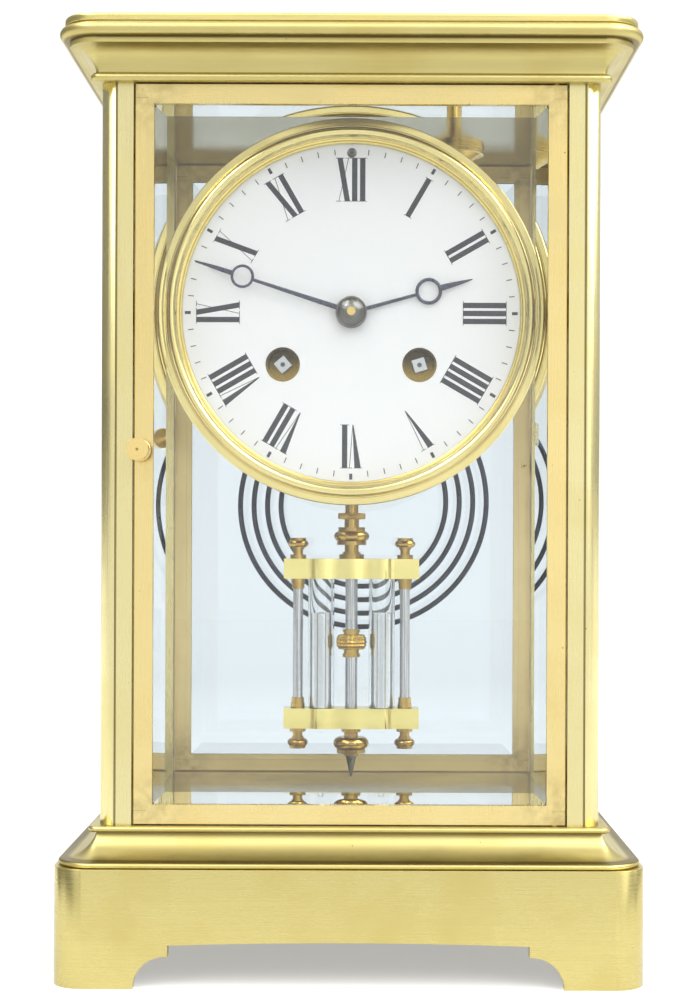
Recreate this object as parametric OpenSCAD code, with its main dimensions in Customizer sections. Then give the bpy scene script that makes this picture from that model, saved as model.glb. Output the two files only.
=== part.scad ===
// Four-glass mantel clock with a mercury pendulum and a coiled gong.
// Origin at the bottom centre of the case, +Z up, dial facing -Y, millimetres.

/* [Case] */
// Width of the body across the corner pillars
body_w = 136.4; // [134:0.2:142]
// Depth of the body across the corner pillars
body_d = 116.4; // [115:0.2:122]
// Height of the bracket-foot plinth
plinth_h = 31.7; // [28:0.1:36]
// How far the plinth stands out past the body
plinth_out = 11.2; // [10:0.1:12]
// Corner radius of the plinth in plan
plinth_r = 8.3; // [6:0.1:9]
// Wall of the hollow plinth
plinth_wall = 4; // [3:0.1:5]
// Width of each bracket foot at the floor
foot_w = 22; // [18:0.5:26]
// Radius of the hollow quarter round inside each foot
foot_r = 8.6; // [7:0.1:10]
// Height of the apron's lower edge between the feet
apron_z = 11.6; // [10.5:0.1:14]
// Rise of the apron at the middle of each side
apron_rise = 0.8; // [0.4:0.1:1.5]
// Thickness of the plinth's top flange
flange_t = 3; // [2:0.1:4]
// Height of the glazed body between the mouldings
body_h = 201.7; // [201.2:0.1:210]
// Side of a corner pillar
pillar_s = 9; // [8.4:0.1:9.6]
// Radius of a pillar's rounded outer corner
pillar_r = 4.2; // [3.5:0.1:4.4]
// Width and depth of the fine grooves on a pillar
pillar_groove = 0.5; // [0.3:0.05:0.6]
// Radius of the tie studs at a pillar's ends
stud_r = 1.5; // [1.2:0.05:1.7]
// Thickness of a tie nut
nut_t = 3.2; // [2.5:0.1:4]

/* [Mouldings] */
// Height of the base moulding
base_h = 10; // [9.6:0.1:12]
// Thickness of the case floor
floor_t = 5; // [4:0.1:5.5]
// Height of the cornice moulding
cornice_h = 14.4; // [14.2:0.1:16]
// Thickness of the cornice above the glazed body
ceiling_t = 6; // [5:0.1:7]
// Height of the small round fillets next to the pillars
fillet_h = 1.6; // [1.3:0.1:2]
// How far those fillets stand out past the body
fillet_out = 2.6; // [2.2:0.1:3]
// How far the neck of the base's hollow stands out past the body
base_neck = 0.3; // [0.2:0.1:1]
// How far the neck of the cornice's hollow stands out past the body
cornice_neck = 1.1; // [0.8:0.1:1.5]
// Height of the cornice's hollow
cornice_hollow_h = 6.6; // [6:0.1:6.8]
// Radius of the cornice's round bead
bead_r = 1.8; // [1.5:0.1:1.9]
// How far the bead stands out past the body
bead_out = 10.9; // [10:0.1:11.5]
// Thickness of the loose top plate
top_plate_t = 2.2; // [1.8:0.1:3]
// How far the top plate stands out past the body
top_plate_out = 9.5; // [8.5:0.1:10]

/* [Doors] */
// Face width of a door's bars
bar_w = 5.25; // [5:0.05:6]
// Thickness of a door
door_t = 6; // [6:0.1:6.6]
// Gap between a door and the case around it
door_gap = 0.35; // [0.3:0.05:0.5]
// How deep a pane's edge sits in its bars
rebate = 1.6; // [1.3:0.05:1.7]
// Pivot pin, distance from the door's edge
pivot_in = 3; // [2.8:0.1:3.2]
// Pivot pin, distance behind the door's face
pivot_back = 1.5; // [1.3:0.05:1.6]
// Radius of a door's pivot pins
pivot_r = 1; // [0.8:0.05:1.1]
// Length of a pivot pin beyond the door
pivot_l = 2.5; // [2:0.1:3]
// Height of the knobs above the case floor
knob_z = 101.8; // [80:0.2:120]
// Distance of a knob's spindle from the door's edge
knob_in = 1.9; // [1.8:0.05:2.1]
// Radius of a door knob
knob_r = 3; // [2.4:0.1:3.4]
// Length of a door knob
knob_l = 6.3; // [5:0.1:8]
// Radius of a knob's spindle
spindle_r = 0.65; // [0.5:0.05:0.7]
// Length of the latch tongue from its spindle
tongue_l = 4.6; // [4.2:0.1:5]

/* [Panes] */
// Thickness of the plate glass
glass_t = 5; // [4.8:0.1:5.2]
// Thickness left at a pane's bevelled edge
glass_edge = 2.2; // [1.9:0.05:2.3]
// Width of the bevel, part of it hidden in the bars
bevel_w = 5; // [4:0.1:7]
// Recess of a pane's face behind the bars
pane_recess = 0.3; // [0.2:0.05:0.35]

/* [Dial] */
// Distance of the dial's centre below the case ceiling
dial_drop = 60.4; // [59.8:0.1:61.5]
// Radius of the enamel that shows inside the bezel
dial_r = 47.3; // [46.5:0.1:48]
// Thickness of the dial
dial_t = 1.6; // [1.3:0.1:2]
// Radial width of the bezel
bezel_w = 6.7; // [6:0.1:7]
// Distance from the door's inside face to the bezel
bezel_back = 6.7; // [6:0.1:8]
// Depth of the bezel from front to back
bezel_t = 7.1; // [6.6:0.1:8]
// Thickness of the carrier ring behind the dial
ring_t = 5.4; // [5.2:0.1:6]
// Distance of a winding hole from the centre line
wind_x = 19.2; // [19:0.1:19.6]
// Distance of a winding hole below the dial's centre
wind_drop = 14.5; // [14.2:0.1:15]
// Radius of a winding hole
wind_r = 4.85; // [4.4:0.05:5.2]
// Side of a winding square
square_s = 3.6; // [3:0.1:4]
// Turn of the left winding square, degrees
left_square = 40; // [0:1:89]
// Turn of the right winding square, degrees
right_square = 17; // [0:1:89]
// Height of the regulator hole above the dial's centre
regulator_up = 45; // [44.6:0.1:45.2]
// Radius of the regulator hole
regulator_r = 1.4; // [1.2:0.05:1.5]

/* [Hands] */
// Length of the hour hand
hour_l = 35.2; // [30:0.1:38]
// Distance of the hour hand's ring from the centre
hour_ring = 22.5; // [19:0.1:25]
// Radius of the hour hand's ring
hour_ring_r = 3.8; // [3.2:0.1:4.4]
// Angle of the hour hand, clockwise from the top
hour_angle = 74.5; // [0:0.5:360]
// Length of the minute hand
minute_l = 46; // [42:0.1:46.4]
// Distance of the minute hand's ring from the centre
minute_ring = 32; // [28:0.1:35]
// Radius of the minute hand's ring
minute_ring_r = 3.2; // [2.8:0.1:3.8]
// Angle of the minute hand, clockwise from the top
minute_angle = 287.9; // [0:0.5:360]
// Width of the hands' stems
stem_w = 1; // [0.8:0.05:1.3]
// Thickness of a hand
hand_t = 0.6; // [0.5:0.05:0.7]
// Radius of the hands' round centres
hub_r = 4.35; // [4:0.05:4.8]

/* [Movement] */
// Radius of the movement plates
plate_r = 42; // [41.8:0.1:43]
// Thickness of the movement plates
plate_t = 2; // [1.6:0.1:2.4]
// Distance between the plates
plate_gap = 34; // [33.6:0.1:36]
// Distance of the plate pillars from the centre
post_circle = 38; // [37.8:0.1:38.4]
// Radius of the plate pillars
post_r = 2.4; // [2:0.1:2.5]
// Radius of the spring barrels
barrel_r = 14.6; // [13.5:0.1:14.8]
// Radius of a barrel arbor inside its barrel
arbor_r = 2.6; // [2.55:0.05:2.8]
// Radius of a wheel arbor
staff_r = 0.7; // [0.6:0.05:0.75]
// Radius of the pivots that run in the plates
pivot_staff_r = 0.45; // [0.35:0.05:0.5]
// Thickness of the wheels
wheel_t = 1.2; // [1:0.05:1.3]
// Height of the escape wheel above the dial's centre
escape_up = 24; // [23.8:0.1:24.3]
// Radius of the escape wheel
escape_r = 8.6; // [8.2:0.1:8.8]
// Height of the pallet arbor above the dial's centre
pallet_up = 35.5; // [35.3:0.1:36]
// Radius of a winding ratchet
ratchet_r = 6.5; // [6:0.1:6.7]

/* [Pendulum] */
// Distance of the pendulum behind the back plate
pendulum_back = 9; // [8.8:0.1:10]
// Height of the top bob bracket above the case floor
top_bracket_up = 65.3; // [63:0.1:66]
// Height of the bottom bob bracket above the case floor
low_bracket_up = 19; // [18.5:0.1:21]
// Thickness of a bob bracket
bracket_t = 6.2; // [5.5:0.1:6.5]
// Distance of a side rod from the pendulum's middle
side_rod_x = 16.6; // [16.2:0.1:17.5]
// Radius of a side rod
side_rod_r = 1.55; // [1.2:0.05:1.7]
// Distance of a vial from the pendulum's middle
vial_x = 9.4; // [9.2:0.1:9.7]
// Radius of a mercury vial
vial_r = 4.05; // [3.7:0.05:4.15]
// Wall of a mercury vial
vial_wall = 0.8; // [0.6:0.05:1]
// Height of the mercury in a vial
mercury_h = 32.4; // [25:0.1:38]
// Radius of the bob's centre rod
centre_rod_r = 1.9; // [1.6:0.05:2]
// Radius of the pendulum rod
rod_r = 2.05; // [1.8:0.05:2.2]
// Radius of the rating nut
nut_r = 4.2; // [3.8:0.1:4.6]
// Length of the pointer under the bob
pointer_l = 6.6; // [5:0.1:7]
// Thickness of the suspension spring
spring_t = 0.2; // [0.15:0.01:0.25]

/* [Gong] */
// Radius of the gong where it leaves its straight end
gong_r = 24.6; // [23:0.1:25]
// Distance between the gong's turns
gong_pitch = 4.4; // [4:0.1:4.6]
// Number of turns of the gong
gong_turns = 3.83; // [3.6:0.01:3.9]
// Diameter of the gong's rod
gong_d = 1.7; // [1.4:0.1:2]
// Distance of the gong in front of the rear door
gong_ahead = 12.2; // [11.5:0.1:13]
// Sideways place of the gong's middle
gong_x = 2.5; // [2:0.1:3]
// Distance of the gong's middle below the dial's centre
gong_drop = 52.4; // [51:0.1:54]
// Sideways place of the gong post
gong_post_x = 32; // [30:0.1:33]
// Distance of the gong post behind the back plate
gong_post_back = 22; // [20:0.1:23]

/* [Fits] */
// Radial clearance of a shaft in its hole
run = 0.04; // [0.02:0.01:0.08]
// Clearance round a fixed piece in its seat
seat = 0.05; // [0.03:0.01:0.1]
// Clearance between moving pieces that do not touch
clear = 0.3; // [0.25:0.05:0.4]

/* [Hidden] */
$fn = 48;

// Levels of the case
floor_z = plinth_h + base_h;
ceiling_z = floor_z + body_h;
lid_z = ceiling_z + cornice_h;
dial_z = ceiling_z - dial_drop;

// Depths of the dial and the movement, front to back
front_y = -body_d / 2;
bezel_y = front_y + door_t + bezel_back;
ring_y = bezel_y + bezel_t;
dial_y = ring_y - dial_t;
plate_y = ring_y + ring_t;
inside_y = plate_y + plate_t;
back_y = inside_y + plate_gap;
rear_y = back_y + plate_t;
swing_y = rear_y + pendulum_back;
gong_y = body_d / 2 - door_t - gong_ahead;

// The door between its pillars
door_w = body_w - 2 * pillar_s - 2 * door_gap;
door_h = body_h - 2 * door_gap;
knob_x = -door_w / 2 + knob_in;
// The bevel's fall per millimetre, and the lip that stops just short of the glass
bevel_fall = (glass_t - glass_edge) / bevel_w;
lip_t = pane_recess + (bevel_w - rebate) * bevel_fall - seat;
tongue_w = 1.3;
tongue_t = 1;
tongue_y = front_y + door_t / 2;
collar_w = tongue_w + 0.4;

// Tie studs and nuts
stud_x = body_w / 2 - pillar_s / 2;
stud_y = body_d / 2 - pillar_s / 2;
tie_nut_r = 2 * stud_r;

// Rims left round the hollows of the base and the cornice
base_rim = 11;
cornice_rim = 1;

// Bezel, ring and bracket sizes
bezel_r = dial_r + bezel_w;
ring_r = bezel_r - 1;
ring_in = plate_r - 6;
bracket_w = 10;
bracket_z = 0;
strap_t = 2;
pillar_x = body_w / 2 - pillar_s;
tab_x = plate_r + 1;

// Tooth counts and modules of the trains
great_n = 84;
great_m = 0.38;
second_leaves = 12;
mid_n = 72;
mid_m = 0.33;
centre_leaves = 12;
centre_n = 84;
centre_m = 0.3;
small_leaves = 7;
third_n = 77;
third_m = 0.28;
escape_n = 38;
warn_leaves = 8;
warn_n = 60;
warn_m = 0.3;
cannon_n = 20;
minute_n = 60;
minute_leaves = 16;
hour_n = 64;
motion_m = 0.4;

function pair(a, b, m) = (a + b) * m / 2;
function polar(a, r) = [r * cos(a), r * sin(a)];
function bearing(p, q) = atan2(q[1] - p[1], q[0] - p[0]);
// The point at distance a from p and b from q, to the left of the way from p to q
function meet(p, a, q, b) =
    let (d = norm(q - p), c = acos((a * a + d * d - b * b) / (2 * a * d)))
    p + polar(bearing(p, q) + c, a);

// Places of the arbors, from the dial's centre
centre_at = [0, 0];
going_at = [wind_x, -wind_drop];
strike_at = [-wind_x, -wind_drop];
mid_at = meet(going_at, pair(great_n, second_leaves, great_m),
              centre_at, pair(mid_n, centre_leaves, mid_m));
escape_at = [0, escape_up];
third_at = meet(escape_at, pair(third_n, small_leaves, third_m),
                centre_at, pair(centre_n, small_leaves, centre_m));
pallet_at = [0, pallet_up];
second_at = strike_at + polar(100, pair(great_n, second_leaves, great_m));
warn_at = second_at + polar(72, pair(mid_n, warn_leaves, mid_m));
fly_at = warn_at + polar(55, pair(warn_n, small_leaves, warn_m));
minute_at = polar(150, pair(cannon_n, minute_n, motion_m));
hammer_at = [-36, -5];
click_at = [7.2, -6.5];
post_angles = [-90, 12, 168, 55, 125];
screw_angles = [-50, -130, 90];

// Depths of the wheels between the plates
centre_y = inside_y + 2.6;
drum_l = 24;
drum_y = inside_y + drum_l;
great_y = drum_y + 2.2;
mid_y = back_y - 4.4;
third_y = inside_y + 11.1;
warn_y = inside_y + 19;
escape_y = back_y - 5.5;
motion_y = plate_y - 0.6;
hour_y = motion_y - 2.2;
ratchet_y = plate_y - 0.4;

// Gong and hammer
gong_z = dial_z - gong_drop;
gong_at = [gong_x, -gong_drop];
gong_rise = gong_r - gong_drop;
gong_end_x = gong_x + 2.5;
strike_turn = 61;
hammer_r = 3.2;
strike_r = gong_r + gong_pitch * (3 + strike_turn / 360) + gong_d / 2 + 0.8 + hammer_r;
head_at = gong_at + polar(90 + strike_turn, strike_r);

// Turned steps of the pendulum, each a radius and a height, from its bracket outwards
finial_steps = [[2.5, 1.2], [1.5, 1.6], [1.9, 0.7], [2.6, 2.2], [2.45, 0.7]];
collar_steps = [[2.2, 1.4], [1.95, 1.8]];
rod_steps = [[3.9, 1.35], [2.8, 0.65], [2.2, 2.25], [4.6, 1.15], [4.1, 3.1], [4.2, 1.25], [2.3, 2.45]];
boss_steps = [[2.75, 1], [2.4, 1.4], [3.4, 4.5], [2.4, 0.8], [2.7, 0.9]];
bulb_steps = [[3, 1.3], [2.2, 1.6], [4, 3.8], [4.45, 1.1], [2.2, 0.9]];
function step_low(steps, i) = i < 1 ? 0 : steps[i - 1][1] + step_low(steps, i - 1);

// Round beads on those turnings: radius, and the number of the step that each one rings
finial_bead = [3.2, 3];
rod_bead = [5.5, 4];
boss_bead = [4.4, 2];
bulb_bead = [5.5, 2];

// Bob brackets: end blocks, and lobes that dip between the vials and the centre rod
block_w = 8.3;
block_d = 8;
block_shift = 0.15;
lobe_wall = 1.3;
lobe_dip = 0.9;
function lobe(x) = vial_r + lobe_wall - lobe_dip / 2 * (1 - cos(360 * x / vial_x));

// Bob levels
low_z = floor_z + low_bracket_up;
top_z = floor_z + top_bracket_up;
rod_low_z = top_z + bracket_t;
nut_z = rod_low_z + step_low(rod_steps, len(rod_steps));
nut_h = 2;
bulb_z = low_z - step_low(bulb_steps, len(bulb_steps));
rod_end = 0.9;
pivot_z = dial_z + pallet_up;
vial_low_z = low_z + 1.5;
vial_floor = 1.7;
rod_block_z = pivot_z - 14;

brass = "#d9c27a";
steel = "#7f858c";
blue = "#2d3d52";
pale = "#f4f7f8";

// Lays a shape drawn in the plane of the dial at a depth, growing towards the front
module face_on(y, at = [0, 0]) {
    translate([at[0], y, dial_z + at[1]]) rotate([90, 0, 0]) children();
}

// A round shaft along the depth, from one y to another
module shaft(at, r, y0, y1) {
    face_on(y1, at) cylinder(r = r, h = y1 - y0);
}

module mirrored() {
    children();
    mirror([1, 0, 0]) children();
}

module at_corners(x, y) {
    for (sx = [-1, 1], sy = [-1, 1]) translate([sx * x, sy * y, 0]) children();
}

module rounded_rect(w, d, r) {
    square([w - 2 * r, d], center = true);
    square([w, d - 2 * r], center = true);
    at_corners(w / 2 - r, d / 2 - r) circle(r);
}

// Carries a profile, drawn outwards and upwards, round the body's outline
module around_body() {
    for (turn = [0, 180]) rotate(turn) {
        translate([-body_w / 2, body_d / 2, 0])
            rotate([90, 0, 90]) linear_extrude(body_w) children();
        rotate(90) translate([-body_d / 2, body_w / 2, 0])
            rotate([90, 0, 90]) linear_extrude(body_d) children();
        translate([body_w / 2, body_d / 2, 0]) rotate_extrude(angle = 90) children();
        translate([-body_w / 2, body_d / 2, 0]) rotate(90) rotate_extrude(angle = 90) children();
    }
}

module nosed_fillet(out, z, h) {
    translate([0, z]) square([out - h / 2, h]);
    translate([out - h / 2, z + h / 2]) circle(h / 2);
}

// A hollow moulding that leaves its far edge level and rises to its neck
module hollow(neck, far, h) {
    r = ((far - neck) * (far - neck) + h * h) / (2 * h);
    difference() {
        translate([0, -0.01]) square([far, h + 0.02]);
        translate([far, r]) circle(r);
    }
}

// Plinth with four bracket feet
module foot_cut(length, through) {
    half = length / 2 - foot_w - foot_r;
    arch_half = half - 0.7;
    arch_r = (arch_half * arch_half + apron_rise * apron_rise) / (2 * apron_rise);
    rotate([90, 0, 0]) linear_extrude(through, center = true) {
        mirrored() translate([half, 0]) circle(foot_r);
        translate([-arch_half, -1]) square([2 * arch_half, apron_z + 1]);
        intersection() {
            translate([0, apron_z + apron_rise - arch_r]) circle(arch_r, $fn = 400);
            translate([-arch_half, apron_z - 1]) square([2 * arch_half, apron_rise + 2]);
        }
    }
}

module plinth() {
    w = body_w + 2 * plinth_out;
    d = body_d + 2 * plinth_out;
    color(brass) difference() {
        linear_extrude(plinth_h) rounded_rect(w, d, plinth_r);
        translate([0, 0, -1]) linear_extrude(plinth_h - flange_t + 1)
            rounded_rect(w - 2 * plinth_wall, d - 2 * plinth_wall, plinth_r - plinth_wall / 2);
        linear_extrude(plinth_h + 1) square([body_w - 2 * base_rim, body_d - 2 * base_rim], center = true);
        foot_cut(w, d + 2);
        rotate(90) foot_cut(d, w + 2);
        at_corners(stud_x, stud_y) cylinder(r = stud_r + run, h = plinth_h + 1);
    }
}

// Base moulding with the case floor, hollow underneath
module base_profile() {
    nose = plinth_out - 0.6;
    nosed_fillet(nose, 0, fillet_h);
    translate([0, fillet_h]) hollow(base_neck, nose - fillet_h / 2, base_h - 2 * fillet_h);
    nosed_fillet(fillet_out, base_h - fillet_h, fillet_h);
}

module base_moulding() {
    color(brass) difference() {
        union() {
            translate([0, 0, plinth_h]) around_body() base_profile();
            translate([-body_w / 2, -body_d / 2, plinth_h]) cube([body_w, body_d, base_h]);
        }
        translate([0, 0, plinth_h - 1]) linear_extrude(base_h - floor_t + 1)
            square([body_w - 2 * base_rim, body_d - 2 * base_rim], center = true);
        at_corners(stud_x, stud_y) cylinder(r = stud_r + run, h = floor_z + 1);
        pivot_bores();
    }
}

module pivot_bores() {
    for (sy = [-1, 1])
        translate([-sy * (door_w / 2 - pivot_in), sy * (body_d / 2 - pivot_back), floor_z - pivot_l - clear])
            cylinder(r = pivot_r + run, h = body_h + 2 * pivot_l + 2 * clear);
}

// Corner pillars with tie studs, a groove for the side pane and a slot for a latch
module pillar(sx, sy, latch = false) {
    flip_x = sx > 0 ? [1, 0, 0] : [0, 0, 0];
    flip_y = sy > 0 ? [0, 1, 0] : [0, 0, 0];
    color(brass) mirror(flip_x) mirror(flip_y) difference() {
        translate([-body_w / 2, -body_d / 2, floor_z]) {
            linear_extrude(body_h) pillar_section();
            translate([pillar_s / 2, pillar_s / 2, -base_h - flange_t - nut_t])
                cylinder(r = stud_r, h = body_h + base_h + flange_t + 2 * nut_t + ceiling_t);
        }
        if (latch) latch_slot();
    }
}

// Deep enough for the tongue's tip, and tall enough for it to swing in from above
module latch_slot() {
    beside = pillar_x + knob_x;
    sweep = norm([tongue_l, tongue_w / 2]);
    low = tongue_w / 2 + clear;
    high = sqrt(sweep * sweep - beside * beside) + clear;
    translate([knob_x - sweep - clear, tongue_y - clear, floor_z + knob_z - low])
        cube([sweep, tongue_t + 2 * clear, low + high]);
}

module pillar_section() {
    difference() {
        union() {
            translate([pillar_r, pillar_r]) circle(pillar_r);
            translate([pillar_r, 0]) square([pillar_s - pillar_r, pillar_s]);
            translate([0, pillar_r]) square([pillar_s, pillar_s - pillar_r]);
        }
        translate([pillar_r, -1]) square([pillar_groove, pillar_groove + 1]);
        translate([-1, pillar_r]) square([pillar_groove + 1, pillar_groove]);
        pane_groove();
    }
}

// The groove follows the bevel of the pane's edge
module pane_groove() {
    back = pane_recess + glass_t;
    mouth = rebate + 1;
    polygon([[back + seat, pillar_s - rebate - seat], [back + seat, pillar_s + 1],
             [back - glass_edge - 2 * seat - mouth * bevel_fall, pillar_s + 1],
             [back - glass_edge - 2 * seat, pillar_s - rebate - seat]]);
}

// Cornice, hollow on top, and the plate that covers it
module cornice_profile() {
    low_h = fillet_h + 0.7;
    hollow_top = low_h + cornice_hollow_h;
    bead_z = cornice_h - 0.3 - bead_r;
    step_out = bead_out - 2.7;
    nosed_fillet(fillet_out, 0, low_h);
    translate([0, hollow_top]) mirror([0, 1])
        hollow(cornice_neck, step_out - 0.2, cornice_hollow_h);
    translate([0, hollow_top - 0.01]) square([step_out, bead_z - bead_r - hollow_top + 0.4]);
    translate([0, bead_z - bead_r]) square([bead_out - bead_r, 2 * bead_r]);
    translate([bead_out - bead_r, bead_z]) circle(bead_r);
    translate([0, bead_z]) square([bead_out - bead_r - 0.2, cornice_h - bead_z]);
}

module cornice() {
    color(brass) difference() {
        union() {
            translate([0, 0, ceiling_z]) around_body() cornice_profile();
            translate([-body_w / 2, -body_d / 2, ceiling_z]) cube([body_w, body_d, cornice_h]);
        }
        translate([0, 0, ceiling_z + ceiling_t]) linear_extrude(cornice_h)
            square([body_w - 2 * cornice_rim, body_d - 2 * cornice_rim], center = true);
        at_corners(stud_x, stud_y) cylinder(r = stud_r + run, h = lid_z);
        pivot_bores();
        translate([gong_post_x, rear_y + gong_post_back, 0]) cylinder(r = 1.5 + seat, h = lid_z);
    }
}

module top_plate() {
    edge = 0.8;
    color(brass) union() {
        translate([0, 0, lid_z]) around_body() {
            square([top_plate_out, top_plate_t - edge]);
            square([top_plate_out - edge, top_plate_t]);
            translate([top_plate_out - edge, top_plate_t - edge]) circle(edge);
        }
        translate([-body_w / 2, -body_d / 2, lid_z]) cube([body_w, body_d, top_plate_t]);
        translate([0, 0, lid_z - 2]) linear_extrude(2) difference() {
            square([body_w - 2 - 2 * seat, body_d - 2 - 2 * seat], center = true);
            square([body_w - 6, body_d - 6], center = true);
        }
    }
}

// Tie nuts under the plinth flange and over the ceiling, and the movement's screws
module case_screws() {
    color(steel) {
        at_corners(stud_x, stud_y) {
            translate([0, 0, plinth_h - flange_t - nut_t]) tie_nut();
            translate([0, 0, ceiling_z + ceiling_t]) tie_nut();
        }
        for (a = screw_angles) {
            shaft(polar(a, plate_r - 2.5), 0.9, plate_y - 3, inside_y);
            shaft(polar(a, plate_r - 2.5), 1.8, inside_y, inside_y + 1.4);
        }
        for (sx = [-1, 1]) {
            shaft([sx * (tab_x + 3.5), bracket_z], 0.9, plate_y - 3, plate_y + strap_t);
            shaft([sx * (tab_x + 3.5), bracket_z], 1.8, plate_y + strap_t, plate_y + strap_t + 1.2);
        }
    }
}

module tie_nut() {
    difference() {
        cylinder(r = tie_nut_r, h = nut_t, $fn = 6);
        translate([0, 0, -1]) cylinder(r = stud_r + run, h = nut_t + 2);
    }
}

// Bevelled panes: one outline across the width and one up the height meet
module pane(w, h) {
    intersection() {
        translate([0, 0, -h]) linear_extrude(2 * h) pane_outline(w);
        translate([-w, 0, h / 2]) rotate([0, 90, 0]) linear_extrude(2 * w) pane_outline(h);
    }
}

module pane_outline(w) {
    drop = glass_t - glass_edge;
    polygon([[-w / 2, glass_t], [w / 2, glass_t], [w / 2, drop], [w / 2 - bevel_w, 0],
             [-w / 2 + bevel_w, 0], [-w / 2, drop]]);
}

module side_glass(sx) {
    color("#c9d6dc", 0.4) translate([sx * (body_w / 2 - pane_recess), 0, floor_z])
        rotate(sx * 90) pane(body_d - 2 * pillar_s + 2 * rebate, body_h - clear);
}

// Doors, drawn at the front; the rear door is the same door turned round
module door_frame() {
    corner = 0.3;
    z0 = floor_z + door_gap;
    in_w = door_w - 2 * bar_w;
    in_h = door_h - 2 * bar_w;
    color(brass) union() {
        difference() {
            translate([0, front_y, z0]) linear_extrude(door_h)
                polygon([[-door_w / 2 + corner, 0], [door_w / 2 - corner, 0], [door_w / 2, corner],
                         [door_w / 2, door_t], [-door_w / 2, door_t], [-door_w / 2, corner]]);
            translate([-in_w / 2, front_y - 1, z0 + bar_w]) cube([in_w, door_t + 2, in_h]);
            translate([-in_w / 2 - rebate, front_y + lip_t, z0 + bar_w - rebate])
                cube([in_w + 2 * rebate, door_t, in_h + 2 * rebate]);
            translate([knob_x, front_y - 1, floor_z + knob_z]) rotate([-90, 0, 0])
                cylinder(r = spindle_r + run, h = door_t + 2);
            latch_pocket();
        }
        translate([door_w / 2 - pivot_in, front_y + pivot_back, z0 - pivot_l])
            cylinder(r = pivot_r, h = pivot_l);
        translate([door_w / 2 - pivot_in, front_y + pivot_back, z0 + door_h])
            cylinder(r = pivot_r, h = pivot_l);
    }
}

// Sawn in the edge of the bar, for the tongue and its collar
module latch_pocket() {
    low = collar_w / 2 + clear;
    translate([-door_w / 2 - 1, tongue_y - clear, floor_z + knob_z - low])
        cube([1 + knob_in + low, tongue_t + 2 * clear, low + tongue_l + clear]);
}

module door_glass() {
    w = door_w - 2 * bar_w + 2 * rebate - 2 * seat;
    h = door_h - 2 * bar_w + 2 * rebate - 2 * seat;
    color("#c9d6dc", 0.4) translate([0, front_y + pane_recess, (floor_z + ceiling_z - h) / 2]) pane(w, h);
}

module door_retainer() {
    w = door_w - 2 * bar_w + 2 * rebate - 2 * seat;
    h = door_h - 2 * bar_w + 2 * rebate - 2 * seat;
    back = pane_recess + glass_t;
    color(brass) translate([0, front_y + door_t, (floor_z + ceiling_z) / 2]) rotate([90, 0, 0])
        linear_extrude(door_t - back) difference() {
            square([w, h], center = true);
            square([w - 2 * rebate, h - 2 * rebate], center = true);
        }
}

// Knob, spindle with a riveted end, and tongue, which stands up inside its bar when unlatched
module door_latch() {
    rivet_r = 0.95;
    rivet_t = 0.4;
    tail_y = front_y + door_t + rivet_t + 0.1;
    color(brass) translate([knob_x, 0, floor_z + knob_z]) rotate([90, 0, 0]) {
        translate([0, 0, -front_y]) rotate_extrude() {
            translate([0, 0.1]) square([knob_r * 0.6, 2]);
            difference() {
                translate([0, 2]) square([knob_r, knob_l - 0.1]);
                translate([knob_r + 0.25, 3.4]) circle(0.8);
            }
        }
        translate([0, 0, -tail_y]) cylinder(r = spindle_r, h = tail_y - front_y + 0.5);
        translate([0, 0, -tail_y]) cylinder(r = rivet_r, h = rivet_t);
        translate([0, 0, -tongue_y - tongue_t]) linear_extrude(tongue_t) {
            circle(collar_w / 2);
            translate([-tongue_w / 2, 0]) square([tongue_w, tongue_l]);
        }
    }
}

// Turned ring behind the dial that carries the movement
module carrier_ring() {
    color(brass) difference() {
        shaft(centre_at, ring_r, ring_y, plate_y);
        shaft(centre_at, ring_in, ring_y - 1, plate_y + 1);
        shaft([0, regulator_up], regulator_r, ring_y - 1, plate_y + 1);
        for (a = screw_angles) shaft(polar(a, plate_r - 2.5), 0.9 + seat, plate_y - 3 - seat, plate_y + 1);
        for (sx = [-1, 1])
            shaft([sx * (tab_x + 3.5), bracket_z], 0.9 + seat, plate_y - 3 - seat, plate_y + 1);
    }
}

// Angle brackets from the ring to the front pillars
module movement_brackets() {
    leg_y = front_y + pillar_s - 1;
    color(brass) mirrored() difference() {
        translate([0, 0, dial_z + bracket_z - bracket_w / 2]) {
            translate([tab_x, plate_y, 0]) cube([pillar_x - tab_x, strap_t, bracket_w]);
            translate([pillar_x - strap_t, leg_y, 0])
                cube([strap_t, plate_y + strap_t - leg_y, bracket_w]);
        }
        shaft([tab_x + 3.5, bracket_z], 0.9 + seat, plate_y - 1, plate_y + strap_t + 1);
    }
}

// Bezel: flat outer band, groove, round band and a hollow down to the dial
module dial_bezel() {
    lip = 0.6;
    color(brass) face_on(ring_y) rotate_extrude($fn = 96) difference() {
        union() {
            translate([dial_r, 0]) square([bezel_w, bezel_t - 2.1]);
            translate([bezel_r - 3.9, bezel_t - 2.1]) circle(2);
        }
        translate([dial_r - 1, -1]) square([3.5, dial_t + seat + 1]);
        translate([bezel_r - 2, bezel_t - 2.1]) circle(0.45);
        translate([dial_r + lip + 0.4, bezel_t - 1.6]) circle(1.7);
    }
}

// Enamel dial, a little crowned, with its holes
module dial() {
    crown = 0.3;
    rim = dial_r + 2.4;
    color(pale) difference() {
        face_on(ring_y) rotate_extrude($fn = 96)
            polygon([[0, 0], [rim, 0], [rim, dial_t], [dial_r / 2, dial_t + crown], [0, dial_t + crown]]);
        shaft(centre_at, 3.6, dial_y - 2, ring_y + 1);
        for (p = [going_at, strike_at]) shaft(p, wind_r, dial_y - 2, ring_y + 1);
        shaft([0, regulator_up], regulator_r, dial_y - 2, ring_y + 1);
    }
}

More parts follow.
